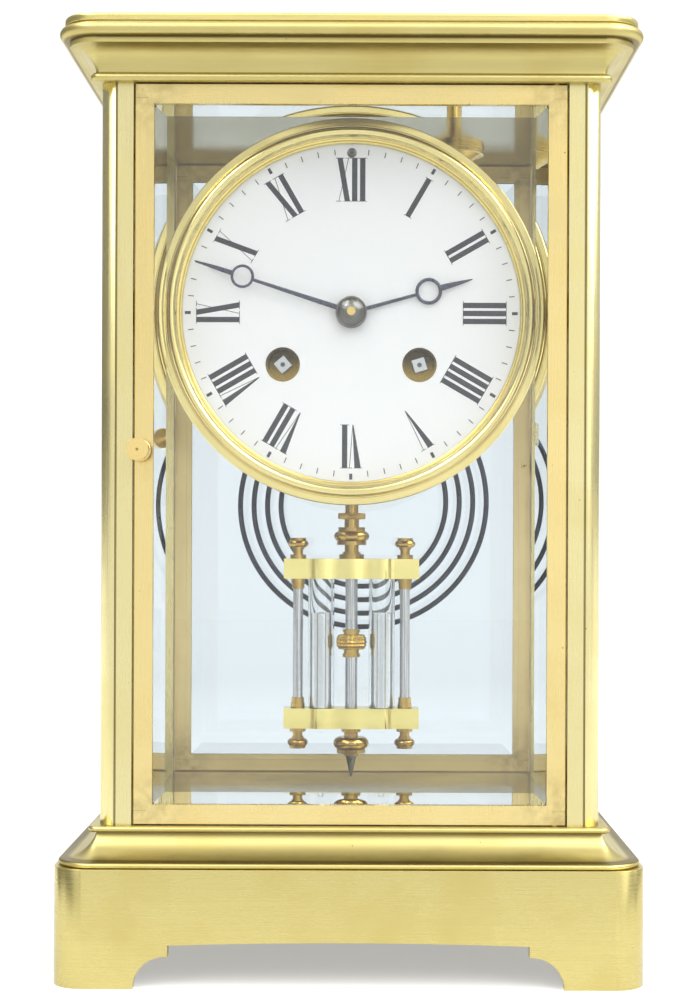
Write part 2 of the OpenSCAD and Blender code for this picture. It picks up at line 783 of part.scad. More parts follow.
// Flanged bushes that line the winding holes, just clear of the ratchets behind
module dial_bushes() {
    wall = 0.6;
    bush_y = ratchet_y - wheel_t - clear;
    color(brass) for (p = [going_at, strike_at]) face_on(bush_y, p) rotate_extrude() {
        translate([wind_r - wall, 0]) square([wall - seat, bush_y - dial_y]);
        translate([wind_r - wall, bush_y - ring_y - wall]) square([2 * wall, wall]);
    }
}

// Moon hands: stem, ring and leaf-shaped tip
module hand_outline(l, ring, ring_r, bore) {
    wall = 0.6;
    difference() {
        union() {
            circle(hub_r);
            translate([-stem_w / 2, 0]) square([stem_w, ring - ring_r + wall / 2]);
            translate([0, ring]) circle(ring_r);
            polygon([[-stem_w * 0.9, ring + ring_r - 0.3], [stem_w * 0.9, ring + ring_r - 0.3],
                     [stem_w * 0.5, (ring + ring_r + l) / 2], [0.12, l], [-0.12, l],
                     [-stem_w * 0.5, (ring + ring_r + l) / 2]]);
        }
        translate([0, ring + 0.1]) circle(ring_r - wall);
        circle(bore);
    }
}

hour_hand_y = dial_y - 1.2;
minute_hand_y = hour_hand_y - hand_t - 0.8;
pipe_r = 2.2;
socket_r = 3.1;
staff_front_r = 1.2;

module hour_hand() {
    color(steel) face_on(hour_hand_y) rotate(-hour_angle) linear_extrude(hand_t)
        hand_outline(hour_l, hour_ring, hour_ring_r, socket_r + seat);
}

module minute_hand() {
    color(steel) face_on(minute_hand_y) rotate(-minute_angle) linear_extrude(hand_t)
        hand_outline(minute_l, minute_ring, minute_ring_r, pipe_r + seat);
}

// Domed brass collet and taper pin that hold the minute hand
module hand_collet() {
    color(brass) face_on(minute_hand_y - hand_t) difference() {
        union() {
            cylinder(r1 = hub_r - 0.5, r2 = 2.2, h = 0.9);
            cylinder(r = 2, h = 1.2);
        }
        translate([0, 0, -1]) cylinder(r = staff_front_r + run, h = 4);
        translate([0, 0, -1]) cylinder(r = pipe_r + seat, h = 1.3);
    }
}

// Outline of a wheel: teeth with rounded tips; leaves are slimmer, with radial flanks
function tooth(n, m, i, leaf) =
    let (r = n * m / 2, a = 360 / n, w = (leaf ? 0.19 : 0.215) * a, mid = i * a)
    leaf
        ? [polar(mid - w, r - 1.25 * m), polar(mid - w, r + 0.1 * m), polar(mid - 0.55 * w, r + 0.5 * m),
           polar(mid + 0.55 * w, r + 0.5 * m), polar(mid + w, r + 0.1 * m), polar(mid + w, r - 1.25 * m)]
        : [polar(mid - w, r - 0.95 * m), polar(mid - w, r), polar(mid - 0.38 * w, r + 0.95 * m),
           polar(mid + 0.38 * w, r + 0.95 * m), polar(mid + w, r), polar(mid + w, r - 0.95 * m)];
function teeth(n, m, leaf = false) = [for (i = [0:n - 1], p = tooth(n, m, i, leaf)) p];

// A crossed-out wheel with its first tooth towards an angle
module wheel(at, y, n, m, towards, hub = 2.4, t = wheel_t, arms = 4) {
    rim = n * m / 2 - 1.9;
    face_on(y, at) rotate(towards) linear_extrude(t) difference() {
        polygon(teeth(n, m));
        if (arms > 0) difference() {
            circle(rim);
            circle(hub);
            for (k = [0:arms - 1]) rotate(k * 360 / arms) translate([0, -0.6]) square([rim + 1, 1.2]);
        }
    }
}

// A pinion with a gap between its leaves towards an angle
module pinion(at, y0, y1, n, m, towards) {
    face_on(y1, at) rotate(towards + 180 / n) linear_extrude(y1 - y0) polygon(teeth(n, m, true));
}

// An arbor with its pivots in the two plates
module staff(at, r = staff_r) {
    shaft(at, r, inside_y + 0.2, back_y - 0.2);
    shaft(at, pivot_staff_r, plate_y + 0.2, rear_y - 0.2);
}

// Motion work in front of the front plate
module cannon_pinion() {
    color(brass) difference() {
        union() {
            face_on(motion_y) rotate(bearing(centre_at, minute_at) + 180 / cannon_n)
                linear_extrude(wheel_t) polygon(teeth(cannon_n, motion_m, true));
            shaft(centre_at, pipe_r, minute_hand_y - hand_t - 0.2, motion_y);
        }
        shaft(centre_at, staff_front_r + run, minute_hand_y - 3, motion_y + 1);
    }
}

module minute_wheel() {
    back = bearing(minute_at, centre_at);
    stud = 1.1;
    color(brass) difference() {
        union() {
            wheel(minute_at, motion_y, minute_n, motion_m, back, 4.2);
            pinion(minute_at, hour_y - wheel_t - 0.2, motion_y - wheel_t / 2, minute_leaves, motion_m, back);
        }
        shaft(minute_at, stud + run, hour_y - 4, motion_y + 1);
    }
}

module hour_wheel() {
    color(brass) difference() {
        union() {
            wheel(centre_at, hour_y, hour_n, motion_m, bearing(centre_at, minute_at), 4.4);
            shaft(centre_at, socket_r, hour_hand_y - hand_t, hour_y);
        }
        shaft(centre_at, pipe_r + run, hour_hand_y - 3, hour_y + 1);
    }
}

// Movement plates with a hole for every pivot
module plate(y) {
    difference() {
        shaft(centre_at, plate_r, y, y + plate_t);
        for (p = [mid_at, third_at, escape_at, pallet_at, second_at, warn_at, fly_at, hammer_at])
            shaft(p, pivot_staff_r + run, y - 1, y + plate_t + 1);
        for (p = [going_at, strike_at]) shaft(p, 2 + run, y - 1, y + plate_t + 1);
        for (a = post_angles) shaft(polar(a, post_circle), 1.2 + seat, y - 1, y + plate_t + 1);
        children();
    }
}

module front_plate() {
    color(brass) {
        plate(plate_y) {
            shaft(centre_at, staff_front_r + run, plate_y - 1, inside_y + 1);
            for (a = screw_angles) shaft(polar(a, plate_r - 2.5), 0.9 + seat, plate_y - 1, inside_y + 1);
            click_holes();
        }
        shaft(minute_at, 1.1, hour_y - wheel_t - 0.4, plate_y + plate_t / 2);
    }
}

module click_holes() {
    for (sx = [-1, 1])
        shaft([sx * (wind_x + click_at[0]), click_at[1] - wind_drop], 0.9 + run, plate_y - 1, inside_y + 1);
}

module back_plate() {
    color(brass) plate(back_y) {
        shaft(centre_at, pivot_staff_r + run, back_y - 1, rear_y + 1);
        shaft(second_at, staff_r + run, back_y - 1, rear_y + 1);
        shaft(pallet_at, staff_r + run, back_y - 1, rear_y + 1);
        shaft(hammer_at, 1 + run, back_y - 1, rear_y + 1);
    }
}

module plate_pillars() {
    color(brass) for (a = post_angles) face_on(rear_y + 1.2, polar(a, post_circle)) rotate_extrude() {
        square([1.2, plate_gap + 2 * plate_t + 1.2]);
        translate([0, 1.2 + plate_t]) square([post_r * 0.8, plate_gap]);
        translate([0, 1.2 + plate_t]) square([post_r, 3]);
        translate([0, 1.2 + plate_t + plate_gap - 3]) square([post_r, 3]);
        translate([0, 1.2 + plate_t + plate_gap / 2 - 2]) square([post_r, 4]);
        square([2, 1.2]);
    }
}

// Spring barrels with the great wheel on the rear cap
module barrel(at, towards) {
    cap = 1;
    color(brass) difference() {
        union() {
            shaft(at, barrel_r, inside_y + 4, drum_y);
            wheel(at, great_y, great_n, great_m, towards, t = great_y - drum_y + cap / 2, arms = 0);
        }
        shaft(at, barrel_r - cap, inside_y + 4 + cap, drum_y - cap);
        shaft(at, arbor_r + run, inside_y, great_y + 1);
    }
}

module winding_arbor(at, turn, lean) {
    color(steel) {
        shaft(at, arbor_r, inside_y + 0.2, back_y - 0.2);
        shaft(at, 2, ratchet_y - wheel_t / 2, rear_y + 0.5);
        face_on(ratchet_y, at) rotate(turn) linear_extrude(dial_t + ring_t - 0.4)
            square(square_s, center = true);
        face_on(ratchet_y, at) linear_extrude(wheel_t) mirror([lean, 0])
            polygon([for (i = [0:23], k = [0, 1]) polar(i * 15 + k * 2, k == 0 ? ratchet_r - 1 : ratchet_r)]);
    }
}

// Ratchet clicks, lifted just clear of the teeth
module click(sx) {
    at = [sx * (wind_x + click_at[0]), click_at[1] - wind_drop];
    color(steel) {
        face_on(ratchet_y, at) linear_extrude(wheel_t) {
            circle(1.7);
            translate([sx * 0.15 - 0.55, 0]) square([1.1, 6.2]);
        }
        shaft(at, 0.9, ratchet_y, inside_y - 0.3);
        shaft(at, 1.5, plate_y - 2.4, ratchet_y - wheel_t / 2);
    }
}

module intermediate_wheel() {
    color(brass) {
        staff(mid_at);
        wheel(mid_at, mid_y + wheel_t, mid_n, mid_m, bearing(mid_at, centre_at));
        pinion(mid_at, drum_y - 1, great_y + 0.8, second_leaves, great_m, bearing(mid_at, going_at));
    }
}

module centre_wheel() {
    color(brass) {
        shaft(centre_at, staff_r, inside_y + 0.2, back_y - 0.2);
        shaft(centre_at, pivot_staff_r, back_y - 0.5, rear_y - 0.2);
        shaft(centre_at, staff_front_r, minute_hand_y - hand_t - 2, inside_y + 1);
        wheel(centre_at, centre_y, centre_n, centre_m, bearing(centre_at, third_at));
        pinion(centre_at, mid_y - 0.6, mid_y + wheel_t + 0.6, centre_leaves, mid_m,
               bearing(centre_at, mid_at));
    }
}

module third_wheel() {
    color(brass) {
        staff(third_at, 0.55);
        wheel(third_at, third_y, third_n, third_m, bearing(third_at, escape_at));
        pinion(third_at, centre_y - wheel_t - 0.6, centre_y + 0.6, small_leaves, centre_m,
               bearing(third_at, centre_at));
    }
}

// Escape wheel with leaning, pointed teeth
module escape_wheel() {
    step = 360 / escape_n;
    color(brass) {
        staff(escape_at, 0.55);
        pinion(escape_at, third_y - wheel_t - 0.9, third_y + 0.9, small_leaves, third_m,
               bearing(escape_at, third_at));
        face_on(escape_y, escape_at) linear_extrude(wheel_t) difference() {
            polygon([for (i = [0:escape_n - 1], k = [0, 1, 2])
                polar((i + [0, 0.55, 0.7][k]) * step, k == 0 ? escape_r - 1.3 : escape_r)]);
            difference() {
                circle(escape_r - 2.4);
                circle(1.9);
                for (k = [0:3]) rotate(k * 90) translate([0, -0.45]) square([escape_r, 0.9]);
            }
        }
    }
}

// Anchor, its arbor and the crutch that takes the pendulum rod in its fork
module pallet_anchor() {
    nib = [7.2, escape_up + 7 - pallet_up];
    nib_r = 0.65;
    crutch_y = rear_y + 3.4;
    fork_z = dial_z + 3.5;
    fork_l = swing_y + rod_r + 1 - crutch_y;
    color(steel) {
        staff(pallet_at, 0.55);
        face_on(escape_y, pallet_at) linear_extrude(wheel_t) {
            circle(2.2);
            for (sx = [-1, 1]) {
                rotate(atan2(nib[1], sx * nib[0])) translate([0, -nib_r]) square([norm(nib), 2 * nib_r]);
                translate([sx * nib[0], nib[1]]) circle(nib_r);
            }
        }
        shaft(pallet_at, staff_r, back_y - 0.3, crutch_y);
        shaft(pallet_at, cock_up - clear, crutch_y - 1.6, crutch_y);
        translate([0, crutch_y - 0.8, fork_z]) cylinder(r = 0.8, h = pivot_z - fork_z);
        difference() {
            translate([-rod_r - 1.4, crutch_y - 1.6, fork_z - 1]) cube([2 * rod_r + 2.8, fork_l + 1.6, 2]);
            translate([-rod_r - run, swing_y - rod_r - 1, fork_z - 2]) cube([2 * rod_r + 2 * run, fork_l, 4]);
        }
    }
}

// Strike train
module strike_second_wheel() {
    count_r = 13;
    color(brass) {
        staff(second_at);
        shaft(second_at, staff_r, back_y - 0.3, rear_y + 3);
        wheel(second_at, mid_y + wheel_t, mid_n, mid_m, bearing(second_at, warn_at));
        pinion(second_at, drum_y - 1, great_y + 0.8, second_leaves, great_m, bearing(second_at, strike_at));
        face_on(rear_y + 2.8, second_at) linear_extrude(wheel_t) difference() {
            circle(count_r);
            for (i = [1:12]) rotate(i * (i + 3) * 2) translate([count_r - 1.6, -0.5]) square([2, 1]);
            difference() {
                circle(count_r - 3);
                circle(2.4);
                for (k = [0:3]) rotate(k * 90) translate([0, -0.7]) square([count_r, 1.4]);
            }
        }
    }
}

module strike_third_wheel() {
    color(brass) {
        staff(warn_at, 0.55);
        wheel(warn_at, warn_y, warn_n, warn_m, bearing(warn_at, fly_at));
        pinion(warn_at, mid_y - 0.6, mid_y + wheel_t + 0.6, warn_leaves, mid_m, bearing(warn_at, second_at));
    }
}

module strike_fly() {
    vane = 6.5;
    color(brass) {
        staff(fly_at, 0.55);
        pinion(fly_at, warn_y - wheel_t - 0.9, warn_y + 0.9, small_leaves, warn_m, bearing(fly_at, warn_at));
        face_on(inside_y + 15, fly_at) rotate(30) linear_extrude(11) square([2 * vane, 0.5], center = true);
        shaft(fly_at, 1.2, inside_y + 3.5, inside_y + 15.5);
    }
}

// Hammer: arbor, bent arm and a round head beside the gong's outer turn
module hammer() {
    arm_r = 0.9;
    arm_y = rear_y + 3;
    color(brass) {
        staff(hammer_at, 0.8);
        shaft(hammer_at, 1, back_y - 0.3, arm_y + arm_r);
        shaft(hammer_at, 2.4, arm_y - 1.5, arm_y + 1.5);
        translate([hammer_at[0], arm_y, dial_z + hammer_at[1]])
            rotate([0, 90 - bearing(hammer_at, head_at), 0]) cylinder(r = arm_r, h = norm(head_at - hammer_at));
        translate([head_at[0], arm_y, dial_z + head_at[1]]) sphere(arm_r);
        shaft(head_at, arm_r, arm_y, gong_y);
        shaft(head_at, hammer_r, gong_y - 4, gong_y + 4);
    }
}

// Gong: a straight end in its block, then a flat spiral of one unbroken rod
gong_rings = 24;
gong_sides = 6;
gong_steps = ceil(gong_turns * gong_rings);
function gong_point(k) =
    let (turn = gong_turns * k / gong_steps)
    gong_at + polar(90 + 360 * turn, gong_r + gong_pitch * turn);
gong_tail = gong_point(gong_steps) - gong_point(gong_steps - 1);
gong_path = concat([[gong_end_x, gong_rise]],
                   [for (k = [0:gong_steps]) gong_point(k)],
                   [gong_point(gong_steps) + gong_d * gong_tail / norm(gong_tail)]);
gong_count = len(gong_path);
function heading(k) =
    let (a = gong_path[max(k - 1, 0)], b = gong_path[min(k + 1, gong_count - 1)])
    bearing(a, b);
gong_gaps = [for (i = [2:gong_count - 1], j = [0:i - 12]) if (j >= 0) norm(gong_path[i] - gong_path[j])];
echo(gong_least_gap = min(gong_gaps) - gong_d);

module gong() {
    color(blue) translate([0, gong_y, dial_z]) polyhedron(
        points = [for (k = [0:gong_count - 1], s = [0:gong_sides - 1])
            let (side = polar(360 * s / gong_sides, gong_d / 2), across = polar(heading(k) + 90, side[0]))
            [gong_path[k][0] + across[0], side[1], gong_path[k][1] + across[1]]],
        faces = concat(
            [for (k = [0:gong_count - 2], s = [0:gong_sides - 1], half = [0, 1])
                let (a = k * gong_sides + s, b = k * gong_sides + (s + 1) % gong_sides)
                half == 0 ? [a, b, b + gong_sides] : [a, b + gong_sides, a + gong_sides]],
            [for (s = [1:gong_sides - 2]) [0, s + 1, s]],
            [for (s = [1:gong_sides - 2])
                let (e = (gong_count - 1) * gong_sides) [e, e + s, e + s + 1]]));
}

// Post that hangs from the ceiling, with a flared foot and the gong's block
module gong_post() {
    hanger_r = 2.4;
    foot = 9.5;
    block = 7;
    block_z = dial_z + gong_rise + gong_d / 2 + clear - block;
    post_y = rear_y + gong_post_back;
    color(brass) {
        translate([gong_post_x, post_y, 0]) {
            translate([0, 0, block_z]) cylinder(r = hanger_r, h = ceiling_z - block_z);
            translate([0, 0, ceiling_z - 2]) cylinder(r = foot, h = 2);
            translate([0, 0, ceiling_z - 6]) cylinder(r1 = hanger_r, r2 = foot - 1, h = 4);
            translate([0, 0, ceiling_z - 1]) cylinder(r = 1.5, h = ceiling_t + 1);
        }
        translate([gong_end_x, post_y - block / 2, block_z])
            cube([gong_post_x - gong_end_x + block / 2, block, block]);
        translate([gong_end_x, post_y - block / 2, block_z])
            cube([block, gong_y + block / 2 - post_y + block / 2, block]);
    }
}

// Cock on the back plate that carries the suspension
cock_w = 6.4;
cock_up = 1.2;
cock_h = 11.6;
module pendulum_cock() {
    slit = spring_t + 2 * clear;
    color(brass) difference() {
        translate([-cock_w / 2, rear_y, pivot_z + cock_up]) cube([cock_w, swing_y + 5 - rear_y, cock_h]);
        translate([-slit / 2, swing_y - 2.9, pivot_z]) cube([slit, 5.8, 6.2]);
        shaft([0, regulator_up], 0.9 + run, rear_y - 1, rear_y + 5);
    }
}

// The spring's top stays inside the cock's slit over the whole swing
spring_up = 4;
module suspension_spring() {
    color(steel) translate([-spring_t / 2, swing_y - 2.5, rod_block_z + 2])
        cube([spring_t, 5, pivot_z + spring_up - rod_block_z - 2]);
}

module regulator_arbor() {
    color(steel) {
        shaft([0, regulator_up], 0.9, dial_y + 1.2, rear_y + 4.8);
        face_on(dial_y + 1.4, [0, regulator_up]) rotate(45) linear_extrude(1.6) square(1.5, center = true);
    }
}

// Stacks turned steps and rings one of them with a round bead
module turning(steps, bead) {
    for (i = [0:len(steps) - 1]) translate([0, step_low(steps, i)]) square(steps[i]);
    if (bead) intersection() {
        nosed_fillet(bead[0], step_low(steps, bead[1]), steps[bead[1]][1]);
        square([bead[0], step_low(steps, len(steps))]);
    }
}

// Pendulum rod: slotted block at the top, sleeve, and turned collars above the bob
module pendulum_rod() {
    color(brass) translate([0, swing_y, 0]) {
        difference() {
            translate([-3, -3.2, rod_block_z]) cube([6, 6.4, 7]);
            translate([-spring_t / 2 - 0.02, -2.6, rod_block_z + 2]) cube([spring_t + 0.04, 5.2, 6]);
        }
        rotate_extrude() translate([0, rod_low_z]) {
            square([rod_r, rod_block_z - rod_low_z + 0.5]);
            turning(rod_steps, rod_bead);
        }
    }
}

module rating_nut() {
    color(brass) translate([0, swing_y, nut_z]) difference() {
        cylinder(r = nut_r, h = nut_h);
        translate([0, 0, -1]) cylinder(r = rod_r + run, h = nut_h + 2);
    }
}

// Bob brackets, wavy in plan round the vials and the centre rod
module bracket_plan() {
    reach = side_rod_x + block_shift - block_w / 2 + 0.5;
    along = [for (i = [-30:30]) reach * i / 30];
    polygon(concat([for (x = along) [x, lobe(x)]], [for (x = along) [-x, -lobe(x)]]));
    for (sx = [-1, 1])
        translate([sx * (side_rod_x + block_shift), 0]) square([block_w, block_d], center = true);
}

module bob_brackets() {
    color(brass) translate([0, swing_y, 0]) {
        difference() {
            translate([0, 0, top_z]) linear_extrude(bracket_t) bracket_plan();
            rod_holes(top_z - 1, bracket_t + 2);
            for (sx = [-1, 1]) translate([sx * vial_x, 0, top_z - 1])
                cylinder(r = vial_r + seat, h = bracket_t);
        }
        difference() {
            translate([0, 0, low_z]) linear_extrude(bracket_t) bracket_plan();
            rod_holes(low_z - 1, bracket_t + 2);
            for (sx = [-1, 1]) translate([sx * vial_x, 0, 0]) {
                translate([0, 0, vial_low_z]) cylinder(r = vial_r + seat, h = bracket_t);
                cylinder(r = 1.1, h = low_z + bracket_t);
            }
        }
    }
}

module rod_holes(z, h) {
    for (sx = [-1, 1]) translate([sx * side_rod_x, 0, z]) cylinder(r = side_rod_r + seat, h = h);
    translate([0, 0, z]) cylinder(r = centre_rod_r + seat, h = h);
}

module bob_rods() {
    color(steel) translate([0, swing_y, 0]) {
        for (sx = [-1, 1]) translate([sx * side_rod_x, 0, low_z - rod_end])
            cylinder(r = side_rod_r, h = top_z - low_z + bracket_t + 2 * rod_end);
        translate([0, 0, low_z]) cylinder(r = centre_rod_r, h = top_z - low_z + bracket_t);
        translate([0, 0, bulb_z - pointer_l]) cylinder(r1 = 0.25, r2 = 1.7, h = pointer_l);
    }
}

// Finials at the ends of the side rods, collars on them, boss on the centre rod, and bulb
module finial() {
    difference() {
        rotate_extrude() turning(finial_steps, finial_bead);
        cylinder(r = side_rod_r + seat, h = 2 * rod_end + 2 * seat, center = true);
    }
}

module collar() {
    difference() {
        rotate_extrude() turning(collar_steps, false);
        cylinder(r = side_rod_r + seat, h = pointer_l, center = true);
    }
}

module bob_turnings() {
    $fn = 32;
    boss_z = (low_z + top_z + bracket_t - step_low(boss_steps, len(boss_steps))) / 2;
    color(brass) translate([0, swing_y, 0]) {
        for (sx = [-1, 1]) translate([sx * side_rod_x, 0, 0]) {
            translate([0, 0, top_z + bracket_t]) finial();
            translate([0, 0, low_z]) mirror([0, 0, 1]) finial();
            translate([0, 0, low_z + bracket_t]) collar();
            translate([0, 0, top_z]) mirror([0, 0, 1]) collar();
        }
        translate([0, 0, boss_z]) difference() {
            rotate_extrude() turning(boss_steps, boss_bead);
            translate([0, 0, -1]) cylinder(r = centre_rod_r + seat, h = top_z - low_z);
        }
        translate([0, 0, low_z]) mirror([0, 0, 1]) rotate_extrude() turning(bulb_steps, bulb_bead);
    }
}

module mercury_vials() {
    color("#dfe8ea", 0.4) for (sx = [-1, 1]) translate([sx * vial_x, swing_y, 0]) difference() {
        rotate_extrude() {
            translate([0, vial_low_z]) square([vial_r, top_z + bracket_t - 1 - vial_low_z - seat]);
            translate([0, low_z - 1.5]) square([0.9, 3.2]);
        }
        translate([0, 0, vial_low_z + vial_floor]) cylinder(r = vial_r - vial_wall, h = top_z);
    }
}

module mercury() {
    color("#b9bec2") for (sx = [-1, 1]) translate([sx * vial_x, swing_y, vial_low_z + vial_floor])
        cylinder(r = vial_r - vial_wall - seat, h = mercury_h);
}

plinth();
base_moulding();
pillar(-1, -1, true);  // pillar_front_left
pillar(1, -1);  // pillar_front_right
pillar(-1, 1);  // pillar_rear_left
pillar(1, 1, true);  // pillar_rear_right
cornice();
top_plate();
case_screws();
side_glass(-1);  // side_glass_left
side_glass(1);  // side_glass_right
door_frame();  // front_door_frame
door_glass();  // front_door_glass
door_retainer();  // front_door_retainer
door_latch();  // front_door_latch
rotate(180) door_frame();  // rear_door_frame
rotate(180) door_glass();  // rear_door_glass
rotate(180) door_retainer();  // rear_door_retainer
rotate(180) door_latch();  // rear_door_latch
carrier_ring();
movement_brackets();
dial_bezel();
dial();
dial_bushes();
hour_hand();
minute_hand();
hand_collet();
cannon_pinion();
minute_wheel();
hour_wheel();
front_plate();
back_plate();
plate_pillars();
barrel(going_at, bearing(going_at, mid_at));  // going_barrel
winding_arbor(going_at, right_square, 0);  // going_arbor
click(1);  // going_click
intermediate_wheel();
centre_wheel();
third_wheel();
escape_wheel();
pallet_anchor();
barrel(strike_at, bearing(strike_at, second_at));  // strike_barrel
winding_arbor(strike_at, left_square, 1);  // strike_arbor
click(-1);  // strike_click
strike_second_wheel();
strike_third_wheel();
strike_fly();
hammer();
gong();
gong_post();
pendulum_cock();
suspension_spring();
regulator_arbor();
pendulum_rod();
rating_nut();
bob_brackets();
bob_rods();
bob_turnings();
mercury_vials();
mercury();
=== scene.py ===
"""Looks of a four-glass mantel clock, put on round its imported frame.

Metres, origin at the bottom centre of the case, +Z up, dial facing -Y.
"""

import math

import bmesh
import bpy
import numpy as np
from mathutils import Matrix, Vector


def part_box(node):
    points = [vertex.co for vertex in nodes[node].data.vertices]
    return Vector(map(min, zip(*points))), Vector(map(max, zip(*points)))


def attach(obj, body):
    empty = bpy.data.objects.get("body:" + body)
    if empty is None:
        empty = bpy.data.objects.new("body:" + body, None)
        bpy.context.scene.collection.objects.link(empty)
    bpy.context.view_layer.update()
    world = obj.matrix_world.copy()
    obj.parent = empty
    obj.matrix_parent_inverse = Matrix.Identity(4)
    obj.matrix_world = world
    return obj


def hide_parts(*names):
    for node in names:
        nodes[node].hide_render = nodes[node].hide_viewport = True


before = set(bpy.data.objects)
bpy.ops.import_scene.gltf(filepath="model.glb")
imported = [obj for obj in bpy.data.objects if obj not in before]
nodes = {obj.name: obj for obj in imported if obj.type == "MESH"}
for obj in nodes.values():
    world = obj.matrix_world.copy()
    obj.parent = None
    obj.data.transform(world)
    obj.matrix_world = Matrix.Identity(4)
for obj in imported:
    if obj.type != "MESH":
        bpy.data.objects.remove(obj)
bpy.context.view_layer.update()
scene = bpy.context.scene
MM = 0.001

# Camera: a long lens in front of the clock, a little to its right and just below half
# height. The lens is shifted, so that upright edges stay upright in the picture.
camera_at = np.array([3.5, -543, 122.1]) * MM
focal_px = 1785
vanishing_px = (363, 530)
frame_px = (700, 1000)
camera_roll = math.radians(-0.2)

camera = bpy.data.objects.new("camera", bpy.data.cameras.new("camera"))
camera.data.sensor_width = 36
camera.data.lens = camera.data.sensor_width * focal_px / max(frame_px)
camera.data.shift_x = (frame_px[0] / 2 - vanishing_px[0]) / max(frame_px)
camera.data.shift_y = (vanishing_px[1] - frame_px[1] / 2) / max(frame_px)
camera.data.clip_start = 0.01
camera.location = camera_at
camera.rotation_euler = (math.pi / 2, camera_roll, 0)
scene.collection.objects.link(camera)
scene.camera = camera
scene.view_settings.view_transform = "Standard"


# Studio: a white acrylic sweep that rises behind the clock. Its colour is paler near the clock and greyer
# ahead and behind, a painted pool of light, and it glows faintly all over, a painted glow that lifts the
# shadows under the clock. A bright canopy hangs high in front and ends short on the left, where the room
# is darker, for depth in the brass.
def linear(code):
    """An sRGB hex colour as linear RGBA: the sRGB curve is undone channel by channel."""
    c = np.array([int(code[i : i + 2], 16) for i in (1, 3, 5)]) / 255
    return (*np.where(c <= 0.04045, c / 12.92, ((c + 0.055) / 1.055) ** 2.4).tolist(), 1.0)


def add(tree, kind, inputs=None, **settings):
    """Adds one node, gives it its settings, and sets or links its inputs.

    An input may be a value, an output, or a node, which stands for its first output in use.
    """
    node = tree.nodes.new("ShaderNode" + kind)
    for key, value in settings.items():
        setattr(node, key, value)
    for key, value in (inputs or {}).items():
        socket = node.inputs[key] if isinstance(key, int) else next(
            s for s in node.inputs if s.name == key and s.enabled)
        if isinstance(value, bpy.types.Node):
            value = next(s for s in value.outputs if s.enabled)
        if isinstance(value, bpy.types.NodeSocket):
            tree.links.new(value, socket)
        else:
            socket.default_value = value
    return node


def mesh_piece(name, points, faces, sharp=35):
    """Points and faces as an object at the origin, doubles merged and faces turned outwards."""
    mesh = bpy.data.meshes.new(name)
    mesh.from_pydata(np.asarray(points).tolist(), [], np.asarray(faces).tolist())
    work = bmesh.new()
    work.from_mesh(mesh)
    bmesh.ops.remove_doubles(work, verts=work.verts, dist=1e-7)
    bmesh.ops.dissolve_degenerate(work, edges=work.edges, dist=1e-8)
    bmesh.ops.recalc_face_normals(work, faces=work.faces)
    work.to_mesh(mesh)
    work.free()
    mesh.polygons.foreach_set("use_smooth", np.ones(len(mesh.polygons), bool))
    mesh.set_sharp_from_angle(angle=math.radians(sharp))
    piece = bpy.data.objects.new(name, mesh)
    scene.collection.objects.link(piece)
    return piece


def surface(name, *grids, close_u=False, close_v=False, sharp=35):
    """Grids of points (u, v, xyz) as one mesh: each cell is a quad to the next u and v.

    Closed directions join their last row to the first, and rows that meet in a pole merge.
    """
    faces, start = [], 0
    for grid in grids:
        nu, nv = grid.shape[:2]
        cells = np.arange(nu - (not close_u)), np.arange(nv - (not close_v))
        i, j = np.meshgrid(*cells, indexing="ij")
        i, j, i_next, j_next = i.ravel(), j.ravel(), (i.ravel() + 1) % nu, (j.ravel() + 1) % nv
        corners = [i * nv + j, i_next * nv + j, i_next * nv + j_next, i * nv + j_next]
        faces.append(start + np.stack(corners, 1))
        start += nu * nv
    points = np.concatenate([grid.reshape(-1, 3) for grid in grids])
    return mesh_piece(name, points, np.concatenate(faces), sharp)


def new_material(name):
    """An empty material and its node tree."""
    material = bpy.data.materials.new(name)
    material.use_nodes = True
    material.node_tree.nodes.clear()
    return material, material.node_tree


floor_half, rise_half, sweep_front, sweep_back = 2.4, 0.75, -2.0, 0.9
sweep_bend, sweep_top = 0.6, 2.6
bend = np.linspace(0, math.pi / 2, 24)
sweep_y = sweep_back + sweep_bend * np.sin(bend)
sweep_y = np.concatenate([[sweep_front], sweep_y, sweep_y[-1:]])
sweep_z = np.concatenate([[0], sweep_bend * (1 - np.cos(bend)), [sweep_top]])
sweep_x = np.array([[-1], [1]]) * np.interp(sweep_z, [0, sweep_bend / 3], [floor_half, rise_half])
sweep = surface("acrylic_sweep", np.stack(np.broadcast_arrays(sweep_x, sweep_y, sweep_z), axis=2))
acrylic, tree = new_material("acrylic_white")
depth = add(tree, "SeparateXYZ", {"Vector": add(tree, "TexCoord").outputs["Object"]})
# Paler near the clock than ahead and behind: a painted pool of light.
shade = add(tree, "ValToRGB", {"Fac": add(tree, "MapRange", {
    "Value": depth.outputs["Y"], "From Min": -0.3, "From Max": sweep_back})})
shade.color_ramp.elements[0].color = linear("#909191")
shade.color_ramp.elements[1].color = linear("#989999")
for place in (0.17, 0.42):
    shade.color_ramp.elements.new(place).color = linear("#B7B8B8")
# The faint glow all over is painted light that lifts the shadows.
add(tree, "OutputMaterial", {"Surface": add(tree, "BsdfPrincipled", {
    "Base Color": shade, "Roughness": 0.9,
    "Emission Color": linear("#FFFFFF"), "Emission Strength": 0.4})})
sweep.data.materials.append(acrylic)

